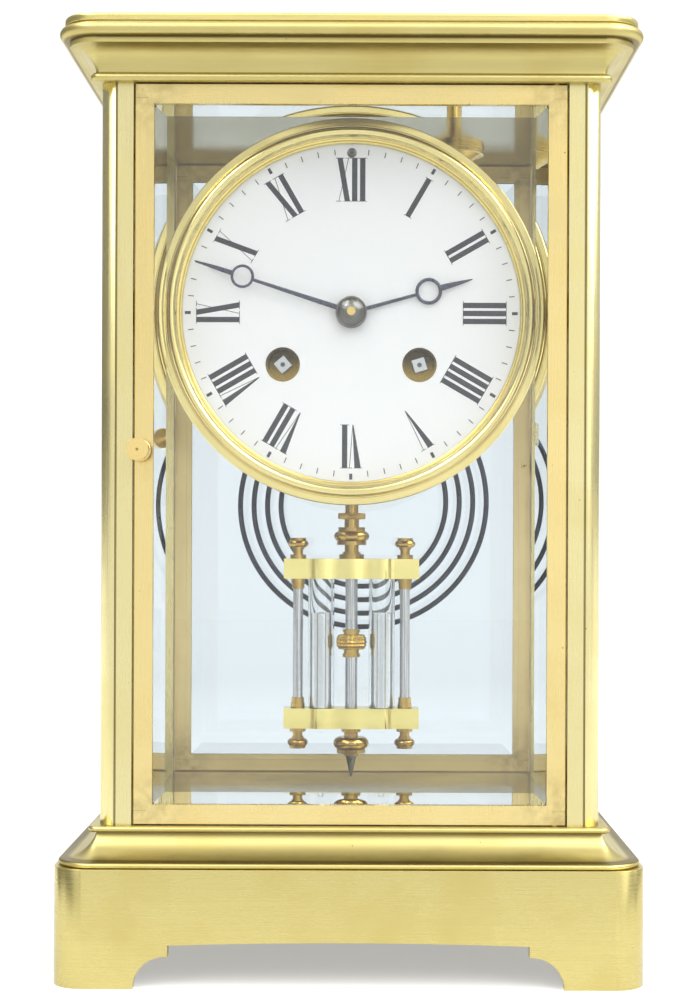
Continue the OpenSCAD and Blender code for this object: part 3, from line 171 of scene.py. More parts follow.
world = bpy.data.worlds.new("studio_room")
scene.world = world
world.use_nodes = True
tree = world.node_tree
tree.nodes.clear()
toward = add(tree, "TexCoord").outputs["Generated"]
direction = add(tree, "SeparateXYZ", {"Vector": toward})
level = add(tree, "VectorMath", {0: toward, 1: (1.0, 1.0, 0.0)}, operation="MULTIPLY")
bearing = add(tree, "VectorMath", {0: level}, operation="NORMALIZE")
ahead = add(tree, "VectorMath", {0: bearing, 1: (0.0, -1.0, 0.0)}, operation="DOT_PRODUCT")
round_room = add(tree, "MapRange", {"Value": ahead, "From Min": 1.0, "From Max": -1.0})
walls = add(tree, "ValToRGB", {"Fac": round_room})
walls.color_ramp.elements[0].color = linear("#7F7F7E")
walls.color_ramp.elements[1].color = linear("#454545")
for place, colour in ((0.06, "#7F7F7E"), (0.18, "#4D4D4C"), (0.45, "#424242")):
    walls.color_ramp.elements.new(place).color = linear(colour)
height = add(tree, "MapRange", {
    "Value": direction.outputs["Z"], "From Min": 0.06, "From Max": 0.22, "To Max": 0.65})
room = add(tree, "Mix", {"Factor": height, "A": walls, "B": linear("#646565")}, data_type="RGBA")
side = add(tree, "MapRange", {
    "Value": direction.outputs["X"], "From Min": -0.7, "From Max": 0.7, "To Min": 0.5, "To Max": 1.15})
room = add(tree, "Mix", {"Factor": 1.0, "A": room, "B": side}, data_type="RGBA", blend_type="MULTIPLY")
canopy = add(tree, "ValToRGB", {"Fac": direction.outputs["Z"]})
canopy.color_ramp.elements[1].color = linear("#000000")
for place, colour in ((0.36, "#000000"), (0.45, "#FFFFFF"), (0.85, "#FFFFFF"), (0.95, "#000000")):
    canopy.color_ramp.elements.new(place).color = linear(colour)
parted = add(tree, "MapRange", {"Value": ahead, "From Min": 0.985, "From Max": 0.9, "To Min": 0.2})
left_end = add(tree, "MapRange", {"Value": direction.outputs["X"], "From Min": -0.75, "From Max": -0.5})
spread = add(tree, "Math", {0: parted, 1: left_end}, operation="MULTIPLY")
canopy = add(tree, "Mix", {"Factor": spread, "A": linear("#000000"), "B": canopy}, data_type="RGBA")
front = add(tree, "MapRange", {"Value": direction.outputs["Y"], "From Min": 0.25, "From Max": -0.05})
room = add(tree, "Mix", {"Factor": front, "A": room, "B": canopy}, data_type="RGBA", blend_type="LIGHTEN")
add(tree, "OutputWorld", {"Surface": add(tree, "Background", {"Color": room, "Strength": 7.0})})


def soft_box(name, at, size, energy, aim=(0, 0, 0.14)):
    """An area light at a place, turned to face the aim."""
    lamp = bpy.data.lights.new(name, "AREA")
    lamp.shape = "RECTANGLE"
    lamp.size, lamp.size_y = size
    lamp.energy = energy
    box = bpy.data.objects.new(name, lamp)
    away = np.array(aim) - np.array(at)
    box.location = at
    box.rotation_euler = (math.acos(-away[2] / np.linalg.norm(away)), 0, math.atan2(-away[0], away[1]))
    scene.collection.objects.link(box)


soft_box("left_box", (-0.85, -1.1, 0.6), (0.5, 1.2), 0.5)
soft_box("right_box", (0.85, -1.1, 0.6), (0.5, 1.2), 1.3)
soft_box("top_box", (0, 0.5, 1.5), (1.6, 1.0), 7)


# Plinth: a hollow brass box on four bracket feet, cut from heavy plate and bent round the
# corners. Its faces were drawn over emery along their length and then lacquered.
def object_mm(tree, scale=(1, 1, 1)):
    """Object coordinates in millimetres, stretched by a scale along each axis."""
    return add(tree, "Mapping", {"Vector": add(tree, "TexCoord").outputs["Object"],
                                 "Scale": tuple(s / MM for s in scale)})


def brass(tree, grain, tints, rough, darkening=0.0):
    """Brass from its grain: two tints along the scratches, clouds of tarnish, and pits.

    The grain runs from 0 to 1 across the scratches and moves the tint, the roughness and the height a
    little. Clouds some 18 mm across deepen the tint. Pits some 0.3 mm wide lie on cells 4 mm apart, where
    a slower noise lets them through. The darkening, from 0 to 1, is the share of the third, darkest tint
    over all of it: tarnish for some callers, painted shade for others.
    """
    light, deep, tarnish = tints
    cloud = add(tree, "TexNoise", {"Vector": object_mm(tree, (1 / 18,) * 3), "Scale": 1.0, "Detail": 3.0})
    cell = add(tree, "TexVoronoi", {"Vector": object_mm(tree, (1 / 4,) * 3), "Scale": 1.0})
    patch = add(tree, "TexNoise", {"Vector": object_mm(tree, (1 / 11,) * 3), "Scale": 1.0, "Detail": 1.0})
    pit = add(tree, "Math", {
        0: add(tree, "MapRange", {"Value": cell, "From Min": 0.06, "From Max": 0.03}),
        1: add(tree, "MapRange", {"Value": patch, "From Min": 0.56, "From Max": 0.6}),
    }, operation="MULTIPLY")
    streak = add(tree, "MapRange", {"Value": grain, "From Min": 0.3, "From Max": 0.7, "To Max": 0.17})
    tint = add(tree, "Mix", {"Factor": streak, "A": linear(light), "B": linear(deep)}, data_type="RGBA")
    deepened = add(tree, "MapRange", {"Value": cloud, "From Min": 0.45, "From Max": 0.8, "To Max": 0.5})
    tint = add(tree, "Mix", {"Factor": deepened, "A": tint, "B": linear(deep)}, data_type="RGBA")
    tint = add(tree, "Mix", {"Factor": pit, "A": tint, "B": linear(tarnish)}, data_type="RGBA")
    tint = add(tree, "Mix", {"Factor": darkening, "A": tint, "B": linear(tarnish)}, data_type="RGBA")
    bump = add(tree, "Bump", {
        "Height": add(tree, "Math", {0: grain, 1: pit}, operation="SUBTRACT"),
        "Strength": 0.03, "Distance": 0.02 * MM})
    worn = add(tree, "MapRange", {
        "Value": add(tree, "Math", {0: grain, 1: cloud}, operation="ADD"),
        "From Min": 0.7, "From Max": 1.3, "To Min": rough - 0.05, "To Max": rough + 0.07})
    return add(tree, "BsdfPrincipled", {
        "Base Color": tint, "Metallic": 1.0, "Roughness": worn, "Normal": bump})


def emeried(name, scale, tints, rough=0.27):
    """Brass with straight emery scratches, long along the axes whose scale is small."""
    material, tree = new_material(name)
    grain = add(tree, "TexNoise", {"Vector": object_mm(tree, scale), "Scale": 1.0, "Detail": 3.0})
    add(tree, "OutputMaterial", {"Surface": brass(tree, grain, tints, rough)})
    return material


def dress(material, *names):
    """Puts a material on CAD nodes."""
    for name in names:
        node = nodes[name]
        if not node.material_slots:
            node.data.materials.append(material)
        for slot in node.material_slots:
            slot.material = material


def ease(width, *names):
    """Rounds the arrises of CAD nodes by a width in millimetres, as a file and emery do."""
    for name in names:
        weld = nodes[name].modifiers.new("weld", "WELD")
        weld.merge_threshold = 1e-6
        bevel = nodes[name].modifiers.new("eased_arris", "BEVEL")
        bevel.width = width * MM
        bevel.segments = 2
        bevel.limit_method = "ANGLE"
        bevel.angle_limit = math.radians(40)
        bevel.harden_normals = True


case_tints = ("#C6B97B", "#B5A15A", "#574519")
# Scratches are some 30 mm long and 0.3 mm wide, drawn coarser than real ones so that they show.
along, across = 1 / 30, 1 / 0.3
dress(emeried("brass_emeried_plinth", (along, along, across), case_tints), "plinth")
ease(0.25, "plinth")


# Base moulding and cornice: cast brass frames with hollows and beads, planed and emeried along their
# length. The floor and the ceiling inside were polished, and their brass is painted in darker, greyer
# tints as painted shade. Faces that lean up or down are painted a little darker, and each seam a line
# darker still: painted shade, with some tarnish in the seams too.
def moulded(name, inside_x, inside_y, tints, inner_shaded, seams):
    """Emeried brass, a little darker where it leans up or down: painted shade.

    It is darker still in a line 0.5 mm wide at the height of each seam, partly tarnish in the joint and
    partly painted shade. The faces inside the glazed body are a smoother brass in darker, greyer tints, a
    painted shade inside the case.
    """
    material, tree = new_material(name)
    grain = add(tree, "TexNoise", {
        "Vector": object_mm(tree, (along, along, across)), "Scale": 1.0, "Detail": 3.0})
    place = add(tree, "SeparateXYZ", {"Vector": object_mm(tree)})
    within = []
    for axis, reach in (("X", inside_x), ("Y", inside_y)):
        beside = add(tree, "Math", {0: place.outputs[axis]}, operation="ABSOLUTE")
        within.append(add(tree, "Math", {0: beside, 1: reach}, operation="LESS_THAN"))
    inside = add(tree, "Math", {0: within[0], 1: within[1]}, operation="MULTIPLY")
    lean = add(tree, "SeparateXYZ", {"Vector": add(tree, "NewGeometry").outputs["Normal"]})
    # Painted shade on the faces that lean up or down.
    painted_shade_and_seam_tarnish = add(tree, "MapRange", {
        "Value": add(tree, "Math", {0: lean.outputs["Z"]}, operation="ABSOLUTE"),
        "From Min": 0.4, "From Max": 0.9, "To Max": 0.08})
    # Each seam's line is partly tarnish and partly painted shade.
    for seam in seams:
        above = add(tree, "Math", {0: place.outputs["Z"], 1: seam}, operation="SUBTRACT")
        away = add(tree, "Math", {0: above}, operation="ABSOLUTE")
        line = add(tree, "MapRange", {"Value": away, "From Min": 0.45, "From Max": 0.15, "To Max": 0.75})
        painted_shade_and_seam_tarnish = add(tree, "Math", {0: painted_shade_and_seam_tarnish, 1: line}, operation="MAXIMUM")
    outer = brass(tree, grain, tints, 0.38, painted_shade_and_seam_tarnish)
    inner = brass(tree, grain, inner_shaded, 0.16)
    add(tree, "OutputMaterial", {"Surface": add(tree, "MixShader", {0: inside, 1: outer, 2: inner})})
    return material


pillar_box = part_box("pillar_front_left")
inside_x, inside_y = -pillar_box[1][0] / MM, -pillar_box[1][1] / MM
# Darker, greyer tints for the faces inside the case: painted shade.
inner_shaded_tints = ("#A0966E", "#857A50", "#443818")
cornice_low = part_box("cornice")[0][2] / MM
base_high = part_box("base_moulding")[1][2] / MM
base_steps, cornice_steps = (1.6, 8.4), (2.3, 10.4)
seams = [base_high - step for step in base_steps] + [cornice_low + step for step in cornice_steps]
moulded_brass = moulded("brass_moulded", inside_x, inside_y, case_tints, inner_shaded_tints, seams)
dress(moulded_brass, "base_moulding", "cornice")
top_tints = ("#E0D28C", "#CDB868", "#574519")
dress(emeried("brass_emeried_top", (along, along, across), top_tints), "top_plate")
ease(0.15, "base_moulding", "cornice", "top_plate")


# Corner pillars: drawn brass bars with a quarter-round corner and a fine groove, held by studs and nuts at
# their ends, emeried upright. The groove is painted dark as painted shade, and the rear ones are painted
# in lighter tints as painted light.
def fluted(name, tints, groove_in, groove_w):
    """Emeried brass, darkened in a groove at a distance in from the body's side on each face, as painted
    shade.
    """
    material, tree = new_material(name)
    grain = add(tree, "TexNoise", {
        "Vector": object_mm(tree, (across, across, along)), "Scale": 1.0, "Detail": 3.0})
    place = add(tree, "SeparateXYZ", {"Vector": object_mm(tree)})
    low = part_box("pillar_front_left")[0]
    darkening = 0.0
    for axis, side in (("X", -low[0] / MM), ("Y", -low[1] / MM)):
        beside = add(tree, "Math", {0: place.outputs[axis]}, operation="ABSOLUTE")
        past = add(tree, "Math", {0: beside, 1: side - groove_in - groove_w / 2}, operation="SUBTRACT")
        away = add(tree, "Math", {0: past}, operation="ABSOLUTE")
        # Painted shade along the groove.
        line = add(tree, "MapRange", {
            "Value": away, "From Min": groove_w / 2 + 0.1, "From Max": groove_w / 2, "To Max": 0.7})
        darkening = add(tree, "Math", {0: darkening, 1: line}, operation="MAXIMUM")
    add(tree, "OutputMaterial", {"Surface": brass(tree, grain, tints, 0.27, darkening)})
    return material


pillars = ("pillar_front_left", "pillar_front_right", "pillar_rear_left", "pillar_rear_right")
# The rear pillars' lighter tints are painted light.
pillar_tints = {"front": ("#DED39E", "#CBBD7B", "#574519"), "rear": ("#F0E5AC", "#DDCD87", "#5F4C1C")}
groove_in, groove_w = 4.2, 0.5
for side, tints in pillar_tints.items():
    fluted_brass = fluted("brass_fluted_" + side, tints, groove_in, groove_w)
    dress(fluted_brass, *(name for name in pillars if side in name))
ease(0.06, *pillars)


# Nuts and screws: turned steel, polished bright, on the studs that tie the case through its
# pillars.
def streaked_steel(name, scale, tints, rough=0.22, black_below=-1.0):
    """Steel with fine draw or turning marks, long along the axes whose scale is small.

    Below a height in millimetres it is black from the fire.
    """
    material, tree = new_material(name)
    mark = add(tree, "TexNoise", {"Vector": object_mm(tree, scale), "Scale": 1.0, "Detail": 2.0})
    share = add(tree, "MapRange", {"Value": mark, "From Min": 0.35, "From Max": 0.7})
    height = add(tree, "SeparateXYZ", {"Vector": object_mm(tree)}).outputs["Z"]
    tint = add(tree, "Mix", {
        "Factor": share, "A": linear(tints[0]), "B": linear(tints[1])}, data_type="RGBA")
    black = add(tree, "Math", {0: height, 1: black_below}, operation="LESS_THAN")
    tint = add(tree, "Mix", {"Factor": black, "A": tint, "B": linear("#55575A")}, data_type="RGBA")
    worn = add(tree, "MapRange", {
        "Value": mark, "From Min": 0.3, "From Max": 0.7, "To Min": rough - 0.06, "To Max": rough + 0.08})
    add(tree, "OutputMaterial", {"Surface": add(tree, "BsdfPrincipled", {
        "Base Color": tint, "Metallic": 1.0, "Roughness": worn})})
    return material


bright_steel = streaked_steel("steel_turned", (1 / 0.6, 1 / 8, 1 / 0.6), ("#C4C7CB", "#8E9298"))
dress(bright_steel, "case_screws")


# Panes: four plates of polished glass with wide bevels ground on their outer edges, held
# in the pillars and in the two doors. The rear one is greyer with dust.
def clear_glass(name, tint):
    """Clear polished glass. A film of dust some 40 mm across in its clouds dulls it a little."""
    material, tree = new_material(name)
    film = add(tree, "TexNoise", {"Vector": object_mm(tree, (1 / 40,) * 3), "Scale": 1.0, "Detail": 4.0})
    add(tree, "OutputMaterial", {"Surface": add(tree, "BsdfPrincipled", {
        "Base Color": linear(tint), "IOR": 1.5, "Transmission Weight": 1.0,
        "Roughness": add(tree, "MapRange", {
            "Value": film, "From Min": 0.4, "From Max": 0.7, "To Max": 0.012})})})
    return material


plate_glass = clear_glass("glass_bevelled_plate", "#FCFEFF")
dress(plate_glass, "side_glass_left", "side_glass_right", "front_door_glass")
dress(clear_glass("glass_bevelled_dusty", "#CDD5DA"), "rear_door_glass")


# Doors: four brass bars soldered at the corners, with the stiles between the rails, emeried along each
# bar. Thin brass frames press the panes on their lips. The rear door is duller, and painted in lighter
# tints: painted light, where it is seen through the glass.
def jointed(name, half_w, mid_z, half_h, bar, tints, rough):
    """Emeried bars of a frame: upright scratches on the stiles and level ones on the rails.

    A point belongs to a rail where it is within a bar's width of the frame's end. The joint
    shows as a fine dark line across the stile, and tarnish blotches the frame's corners.
    """
    material, tree = new_material(name)
    place = add(tree, "SeparateXYZ", {"Vector": object_mm(tree)})
    beside = add(tree, "Math", {0: place.outputs["X"]}, operation="ABSOLUTE")
    above = add(tree, "Math", {0: place.outputs["Z"], 1: mid_z}, operation="SUBTRACT")
    above = add(tree, "Math", {0: above}, operation="ABSOLUTE")
    from_side = add(tree, "Math", {0: half_w, 1: beside}, operation="SUBTRACT")
    from_end = add(tree, "Math", {0: half_h, 1: above}, operation="SUBTRACT")
    upright = add(tree, "TexNoise", {
        "Vector": object_mm(tree, (across, across, along)), "Scale": 1.0, "Detail": 3.0})
    level = add(tree, "TexNoise", {
        "Vector": object_mm(tree, (along, across, across)), "Scale": 1.0, "Detail": 3.0})
    rail = add(tree, "Math", {0: from_end, 1: bar}, operation="LESS_THAN")
    grain = add(tree, "Mix", {"Factor": rail, "A": upright, "B": level})
    to_joint = add(tree, "Math", {0: from_end, 1: bar}, operation="SUBTRACT")
    to_joint = add(tree, "Math", {0: to_joint}, operation="ABSOLUTE")
    seam = add(tree, "Math", {
        0: add(tree, "MapRange", {"Value": to_joint, "From Min": 0.14, "From Max": 0.06, "To Max": 0.45}),
        1: add(tree, "Math", {0: from_side, 1: bar}, operation="LESS_THAN")}, operation="MULTIPLY")
    spot = add(tree, "TexNoise", {"Vector": object_mm(tree, (1 / 3,) * 3), "Scale": 1.0, "Detail": 5.0})
    from_corner = add(tree, "Math", {0: from_side, 1: from_end}, operation="MAXIMUM")
    blotch = add(tree, "Math", {
        0: add(tree, "MapRange", {"Value": spot, "From Min": 0.35, "From Max": 0.75, "To Max": 0.45}),
        1: add(tree, "MapRange", {"Value": from_corner, "From Min": 16.0, "From Max": 4.0}),
    }, operation="MULTIPLY")
    darkening = add(tree, "Math", {0: seam, 1: blotch}, operation="MAXIMUM")
    add(tree, "OutputMaterial", {"Surface": brass(tree, grain, tints, rough, darkening)})
    return material


pane_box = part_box("front_door_glass")
frame_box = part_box("front_door_frame")
door_half_w = frame_box[1][0] / MM
bar_face = door_half_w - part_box("front_door_retainer")[1][0] / MM
door_mid = (pane_box[0][2] + pane_box[1][2]) / 2 / MM
door_half_h = (pane_box[1][2] - pane_box[0][2]) / 2 / MM + bar_face
# The rear door's lighter tints are painted light.
door_finish = {"front": (("#E5D193", "#D2B973", "#65501F"), 0.25),
               "rear": (("#F4E0A4", "#E3CB88", "#6B5420"), 0.42)}
for door, finish in door_finish.items():
    door_brass = jointed("brass_jointed_" + door, door_half_w, door_mid, door_half_h, bar_face, *finish)
    dress(door_brass, door + "_door_frame", door + "_door_retainer")
ease(0.1, "front_door_frame", "rear_door_frame")


# Door knobs: turned brass on the ends of the latches, with fine rings left by the tool. A
# quarter turn frees the door.
def lathed(name, centre, axis, tints, rough=0.2, dimple=0.0):
    """Metal turned about an axis: the tool's rings, and a dark centre inside the dimple radius, a painted
    shade of the hollow at the centre.

    The rings are some 0.4 mm wide, drawn coarser than real ones so that they show.
    """
    material, tree = new_material(name)
    spread = tuple(float(a != axis) for a in "XYZ")
    middle = tuple(c / MM for c in centre)
    place = add(tree, "VectorMath", {0: object_mm(tree), 1: middle}, operation="SUBTRACT")
    flat = add(tree, "VectorMath", {0: place, 1: spread}, operation="MULTIPLY")
    radius = add(tree, "VectorMath", {0: flat}, operation="LENGTH")
    rings = add(tree, "TexNoise", {"W": radius, "Scale": 1 / 0.4, "Detail": 2.0}, noise_dimensions="1D")
    darkening = 0.0
    if dimple:
        darkening = add(tree, "MapRange", {
            "Value": radius, "From Min": dimple, "From Max": dimple / 2, "To Max": 0.7})
    add(tree, "OutputMaterial", {"Surface": brass(tree, rings, tints, rough, darkening)})
    return material


knob_tints = ("#EBD28F", "#D0A95C", "#5C4318")
for door in ("front", "rear"):
    low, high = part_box(door + "_door_latch")
    knob_mid = ((low[0] + high[0]) / 2, 0, low[2] + (high[0] - low[0]) / 2)
    # The knob's dark centre is painted shade of its centre dimple.
    knob_brass = lathed("brass_turned_knob_" + door, knob_mid, "Y", knob_tints, dimple=0.5)
    dress(knob_brass, door + "_door_latch")
ease(0.25, "front_door_latch", "rear_door_latch")

# Carrier ring and its brackets: turned and filed brass behind the dial, which carry the
# movement in the case.
movement_tints = ("#EBD283", "#D0B058", "#5E4A1C")
movement_brass = emeried("brass_filed", (1 / 25, 1 / 25, 1 / 0.25), movement_tints, 0.22)
dress(movement_brass, "carrier_ring", "movement_brackets")

# Bezel: a brass ring turned with a flat outer band, a groove, a round bead and a hollow
# that runs down to the enamel, polished and gilt.
dial_low, dial_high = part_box("dial")
bezel_low, bezel_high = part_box("dial_bezel")
dial_z = (bezel_low[2] + bezel_high[2]) / 2
dial_back = bezel_high[1]


def turned(name, profile, centre, axis, steps=160, knurl=(0, 0, 0)):
    """A profile of (radius, height) in millimetres, turned round an axis through the centre.

    Each point goes to centre + radius (cos a, sin a) across the axis + height along it. A
    knurl of (ridges, depth, inner radius) adds depth cos(ridges a) past its inner radius.
    """
    axis = np.array(axis, float)
    side = np.array([1.0, 0, 0])
    other = np.cross(axis, side)
    angle = np.linspace(0, 2 * math.pi, steps, endpoint=False)[:, None, None]
    profile = np.array(profile, float)[None]
    ridges, depth, inner = knurl
    radius = profile[..., :1] + depth * np.cos(ridges * angle) * (profile[..., :1] > inner)
    points = radius * (np.cos(angle) * side + np.sin(angle) * other) + profile[..., 1:] * axis
    return surface(name, np.array(centre) + points * MM, close_u=True)


def arc(centre, radius, start, stop, steps=10):
    """Points of an arc in a profile, angles in degrees from the radius direction."""
    a = np.radians(np.linspace(start, stop, steps))
    return (np.array(centre) + radius * np.stack([np.cos(a), np.sin(a)], axis=1)).tolist()


bezel_r = (bezel_high[0] - bezel_low[0]) / 2 / MM
bezel_profile = ([[bezel_r - 0.3, 0], [bezel_r, 0.3], [bezel_r, 4.8]]
                 + [[bezel_r - 0.2, 5.0], [bezel_r - 1.9, 5.05]]
                 + arc((bezel_r - 2.15, 5.05), 0.25, 0, -180, 6)
                 + arc((bezel_r - 3.75, 5.3), 1.35, 8, 172, 16)
                 + arc((bezel_r - 5.6, 4.9), 0.62, 40, -60, 8)
                 + [[bezel_r - 5.4, 3.3], [bezel_r - 5.75, 3.25], [bezel_r - 5.8, 2.9]]
                 + arc((bezel_r - 6.2, 2.75), 0.35, 30, 170, 7)
                 + [[bezel_r - 6.65, 1.75], [bezel_r - 4, 1.75], [bezel_r - 4, 0], [bezel_r - 0.3, 0]])
bezel = turned("dial_bezel_turned", bezel_profile, (0, dial_back, dial_z), (0, -1, 0), 240)
gilt_tints = ("#E8D893", "#D2BA69", "#5E4614")
gilt_brass = lathed("brass_turned_gilt", (0, 0, dial_z), "Y", gilt_tints)
bezel.data.materials.append(gilt_brass)
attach(bezel, "case")
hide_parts("dial_bezel")

# Dial: a copper disc coated with white enamel and fired, a little crowned. The bezel holds it
# by its rim.
enamel, tree = new_material("enamel_white_fired")
cloud = add(tree, "TexNoise", {"Vector": object_mm(tree, (1 / 8,) * 3), "Scale": 1.0, "Detail": 3.0})
add(tree, "OutputMaterial", {"Surface": add(tree, "BsdfPrincipled", {
    "Base Color": add(tree, "Mix", {
        "Factor": cloud, "A": linear("#FFFEFD"), "B": linear("#FBFBFA")}, data_type="RGBA"),
    "Roughness": 0.3, "IOR": 1.5, "Coat Weight": 0.4, "Coat Roughness": 0.06})})
dress(enamel, "dial")

# Dial marks: Roman hours with their feet to the centre, fine minute strokes and bolder
# five-minute dashes, printed in black enamel and fired into the white.
hour_in, hour_out = 31.4, 43.5
heavy, hair = 1.5, 0.17
step_i, step_v, step_x = 2.25, 3.5, 3.9
v_foot, v_left, v_right, v_lean = 0.55, 0.8, 1.5, 0.05
x_heavy, x_hair = 1.05, 1.35
serif_past = 0.45
hair_serif = 0.75
crown_r, crown, dial_t = 23.65, 0.3, 1.6
dial_rim = (dial_high[0] - dial_low[0]) / 2 / MM
mark_up = 0.03


def stroke(u0, u1, width, v0=hour_in, v1=hour_out, foot=1.0):
    """A straight stroke from (u0, v0) to (u1, v1) with level ends, as four corners (u, v).

    Its foot, at v0, is as wide as the given share of the width.
    """
    half = width / 2
    return [[u0 - half * foot, v0], [u0 + half * foot, v0], [u1 + half, v1], [u1 - half, v1]]


def serif(u, v, reach):
    """A hairline across the end of a stroke, as four corners (u, v)."""
    return stroke(u, u, 2 * reach, v - hair / 2, v + hair / 2)


def numeral(letters):
    """The strokes of a Roman numeral, set side by side and centred on its hour."""
    widths = {"I": step_i, "V": step_v, "X": step_x}
    u = -sum(widths[c] for c in letters) / 2
    reach = heavy / 2 + serif_past
    strokes = []
    for c in letters:
        mid = u + widths[c] / 2
        if c == "I":
            strokes += [stroke(mid, mid, heavy), serif(mid, hour_in, reach), serif(mid, hour_out, reach)]
        elif c == "V":
            strokes += [stroke(mid + v_foot, mid - v_left, 1.2 * heavy, foot=0.15),
                        stroke(mid + v_foot + v_lean, mid + v_right, hair),
                        serif(mid - v_left - v_lean, hour_out, reach),
                        serif(mid + v_right, hour_out, hair_serif)]
        else:
            strokes += [stroke(mid + x_heavy, mid - x_heavy, heavy),
                        stroke(mid - x_hair, mid + x_hair, hair),
                        serif(mid + x_heavy, hour_in, reach), serif(mid - x_heavy, hour_out, reach),
                        serif(mid - x_hair, hour_in, hair_serif),
                        serif(mid + x_hair, hour_out, hair_serif)]
        u += widths[c]
    return strokes


def clockwise(u, v, degrees):
    """Places (u, v) of a mark or hand that points up, turned clockwise on the dial, as (x, z)."""
    a = math.radians(degrees)
    return u * math.cos(a) + v * math.sin(a), v * math.cos(a) - u * math.sin(a)


def on_dial(flat, degrees):
    """Corners (u, v) turned to their hour and laid on the dial's crown."""
    x, z = clockwise(*np.array(flat).T, degrees)
    rise = dial_t + crown * np.clip((dial_rim - np.hypot(x, z)) / (dial_rim - crown_r), 0, 1) + mark_up
    return np.stack([x * MM, dial_back - rise * MM, dial_z + z * MM], axis=-1)


hours = ["XII", "I", "II", "III", "IIII", "V", "VI", "VII", "VIII", "IX", "X", "XI"]
corners = [on_dial(s, 30 * k) for k, letters in enumerate(hours) for s in numeral(letters)]
minute_tick = stroke(0, 0, 0.26, 44.5, 46.1)
five_dash = stroke(0, 0, 0.85, 45.1, 46.75)
corners += [on_dial(five_dash if m % 5 == 0 else minute_tick, 6 * m) for m in range(1, 60)]
corners = np.concatenate(corners)
marks = mesh_piece("dial_marks", corners, np.arange(len(corners)).reshape(-1, 4))
ink, tree = new_material("enamel_black_fired")
thin = add(tree, "TexNoise", {"Vector": object_mm(tree, (1 / 0.7,) * 3), "Scale": 1.0, "Detail": 2.0})
add(tree, "OutputMaterial", {"Surface": add(tree, "BsdfPrincipled", {
    "Base Color": add(tree, "Mix", {
        "Factor": thin, "A": linear("#23262C"), "B": linear("#33373F")}, data_type="RGBA"),
    "Roughness": 0.4})})
marks.data.materials.append(ink)
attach(marks, "case")


# Bushes, winding squares and regulator: brass rings in the dial's holes round steel squares on the barrel
# arbors, whose brass ratchets show dimly behind. The holes are painted dark: their brass in dark tints,
# darker towards the top, and the regulator in dark steel, all painted shade.
square_mm, square_end = 3.6, 2.5
shade_below, shade_above = 2.5, 2.0
shade_tints = ("#A08740", "#7A652C", "#241C0A")
bush_low, bush_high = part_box("dial_bushes")
hole_z = (bush_low[2] + bush_high[2]) / 2 / MM


def hole_shaded_brass(tree):
    """Turned brass in a winding hole, in dark tints and darker with height from below the hole's middle to
    above it: painted shade, where light from above doesn't reach into the hole.
    """
    place = add(tree, "SeparateXYZ", {"Vector": object_mm(tree)})
    # Painted shade, darker towards the top of the hole.
    upper_shade = add(tree, "MapRange", {
        "Value": place.outputs["Z"], "From Min": hole_z - shade_below, "From Max": hole_z + shade_above,
        "To Max": 0.85})
    grain = add(tree, "TexNoise", {
        "Vector": object_mm(tree, (1 / 0.6,) * 3), "Scale": 1.0, "Detail": 2.0})
    return brass(tree, grain, shade_tints, 0.3, upper_shade)


def winding_square(name, low, high):
    """Bright steel on the square's end with a dark centre, a painted shade of its centre dimple, and brass
    in painted hole shade past its corners and deeper, for the ratchet.
    """
    material, tree = new_material(name)
    middle = ((low + high) / 2 / MM).tolist()
    place = add(tree, "VectorMath", {0: object_mm(tree), 1: middle}, operation="SUBTRACT")
    flat = add(tree, "VectorMath", {0: place, 1: (1.0, 0.0, 1.0)}, operation="MULTIPLY")
    radius = add(tree, "VectorMath", {0: flat}, operation="LENGTH")
    wide = add(tree, "Math", {0: radius, 1: square_mm * math.sqrt(0.5) + 0.1}, operation="GREATER_THAN")
    depth = add(tree, "SeparateXYZ", {"Vector": place}).outputs["Y"]
    deep = add(tree, "Math", {
        0: depth, 1: float(low[1] - high[1]) / 2 / MM + square_end}, operation="GREATER_THAN")
    ratchet = add(tree, "Math", {0: wide, 1: deep}, operation="MAXIMUM")
    # Painted shade of the centre dimple on the square's end.
    dimple = add(tree, "MapRange", {"Value": radius, "From Min": 0.8, "From Max": 0.5})
    steel = add(tree, "BsdfPrincipled", {
        "Base Color": add(tree, "Mix", {
            "Factor": dimple, "A": linear("#C6C9CB"), "B": linear("#4F5356")}, data_type="RGBA"),
        "Metallic": 1.0, "Roughness": 0.3})
    both = add(tree, "MixShader", {0: ratchet, 1: steel, 2: hole_shaded_brass(tree)})
    add(tree, "OutputMaterial", {"Surface": both})
    return material


bush_brass, tree = new_material("brass_bush_painted_shade")
add(tree, "OutputMaterial", {"Surface": hole_shaded_brass(tree)})
dress(bush_brass, "dial_bushes")
for arbor in ("going_arbor", "strike_arbor"):
    low, high = (np.array(corner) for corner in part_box(arbor))
    dress(winding_square("steel_square_" + arbor, low, high), arbor)
low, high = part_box("regulator_arbor")
regulator_mid = ((low[0] + high[0]) / 2, 0, (low[2] + high[2]) / 2)
# Dark steel with a dark centre: painted shade in the regulator's hole.
regulator_tints = ("#7A7A78", "#5C5C5A", "#1E1D1C")
regulator_steel = lathed("steel_turned_regulator", regulator_mid, "Y", regulator_tints, 0.3, dimple=0.7)
dress(regulator_steel, "regulator_arbor")

# Hands: steel, pierced and filed to moons, polished and faintly blued. Each is a tapered
# stem, a ring and a leaf-shaped tip, with a round centre under the domed boss.
hand_t = 0.6
hand_hub = 4.35
stem_from = 3
tip_end, tip_swell = 0.3, 0.25


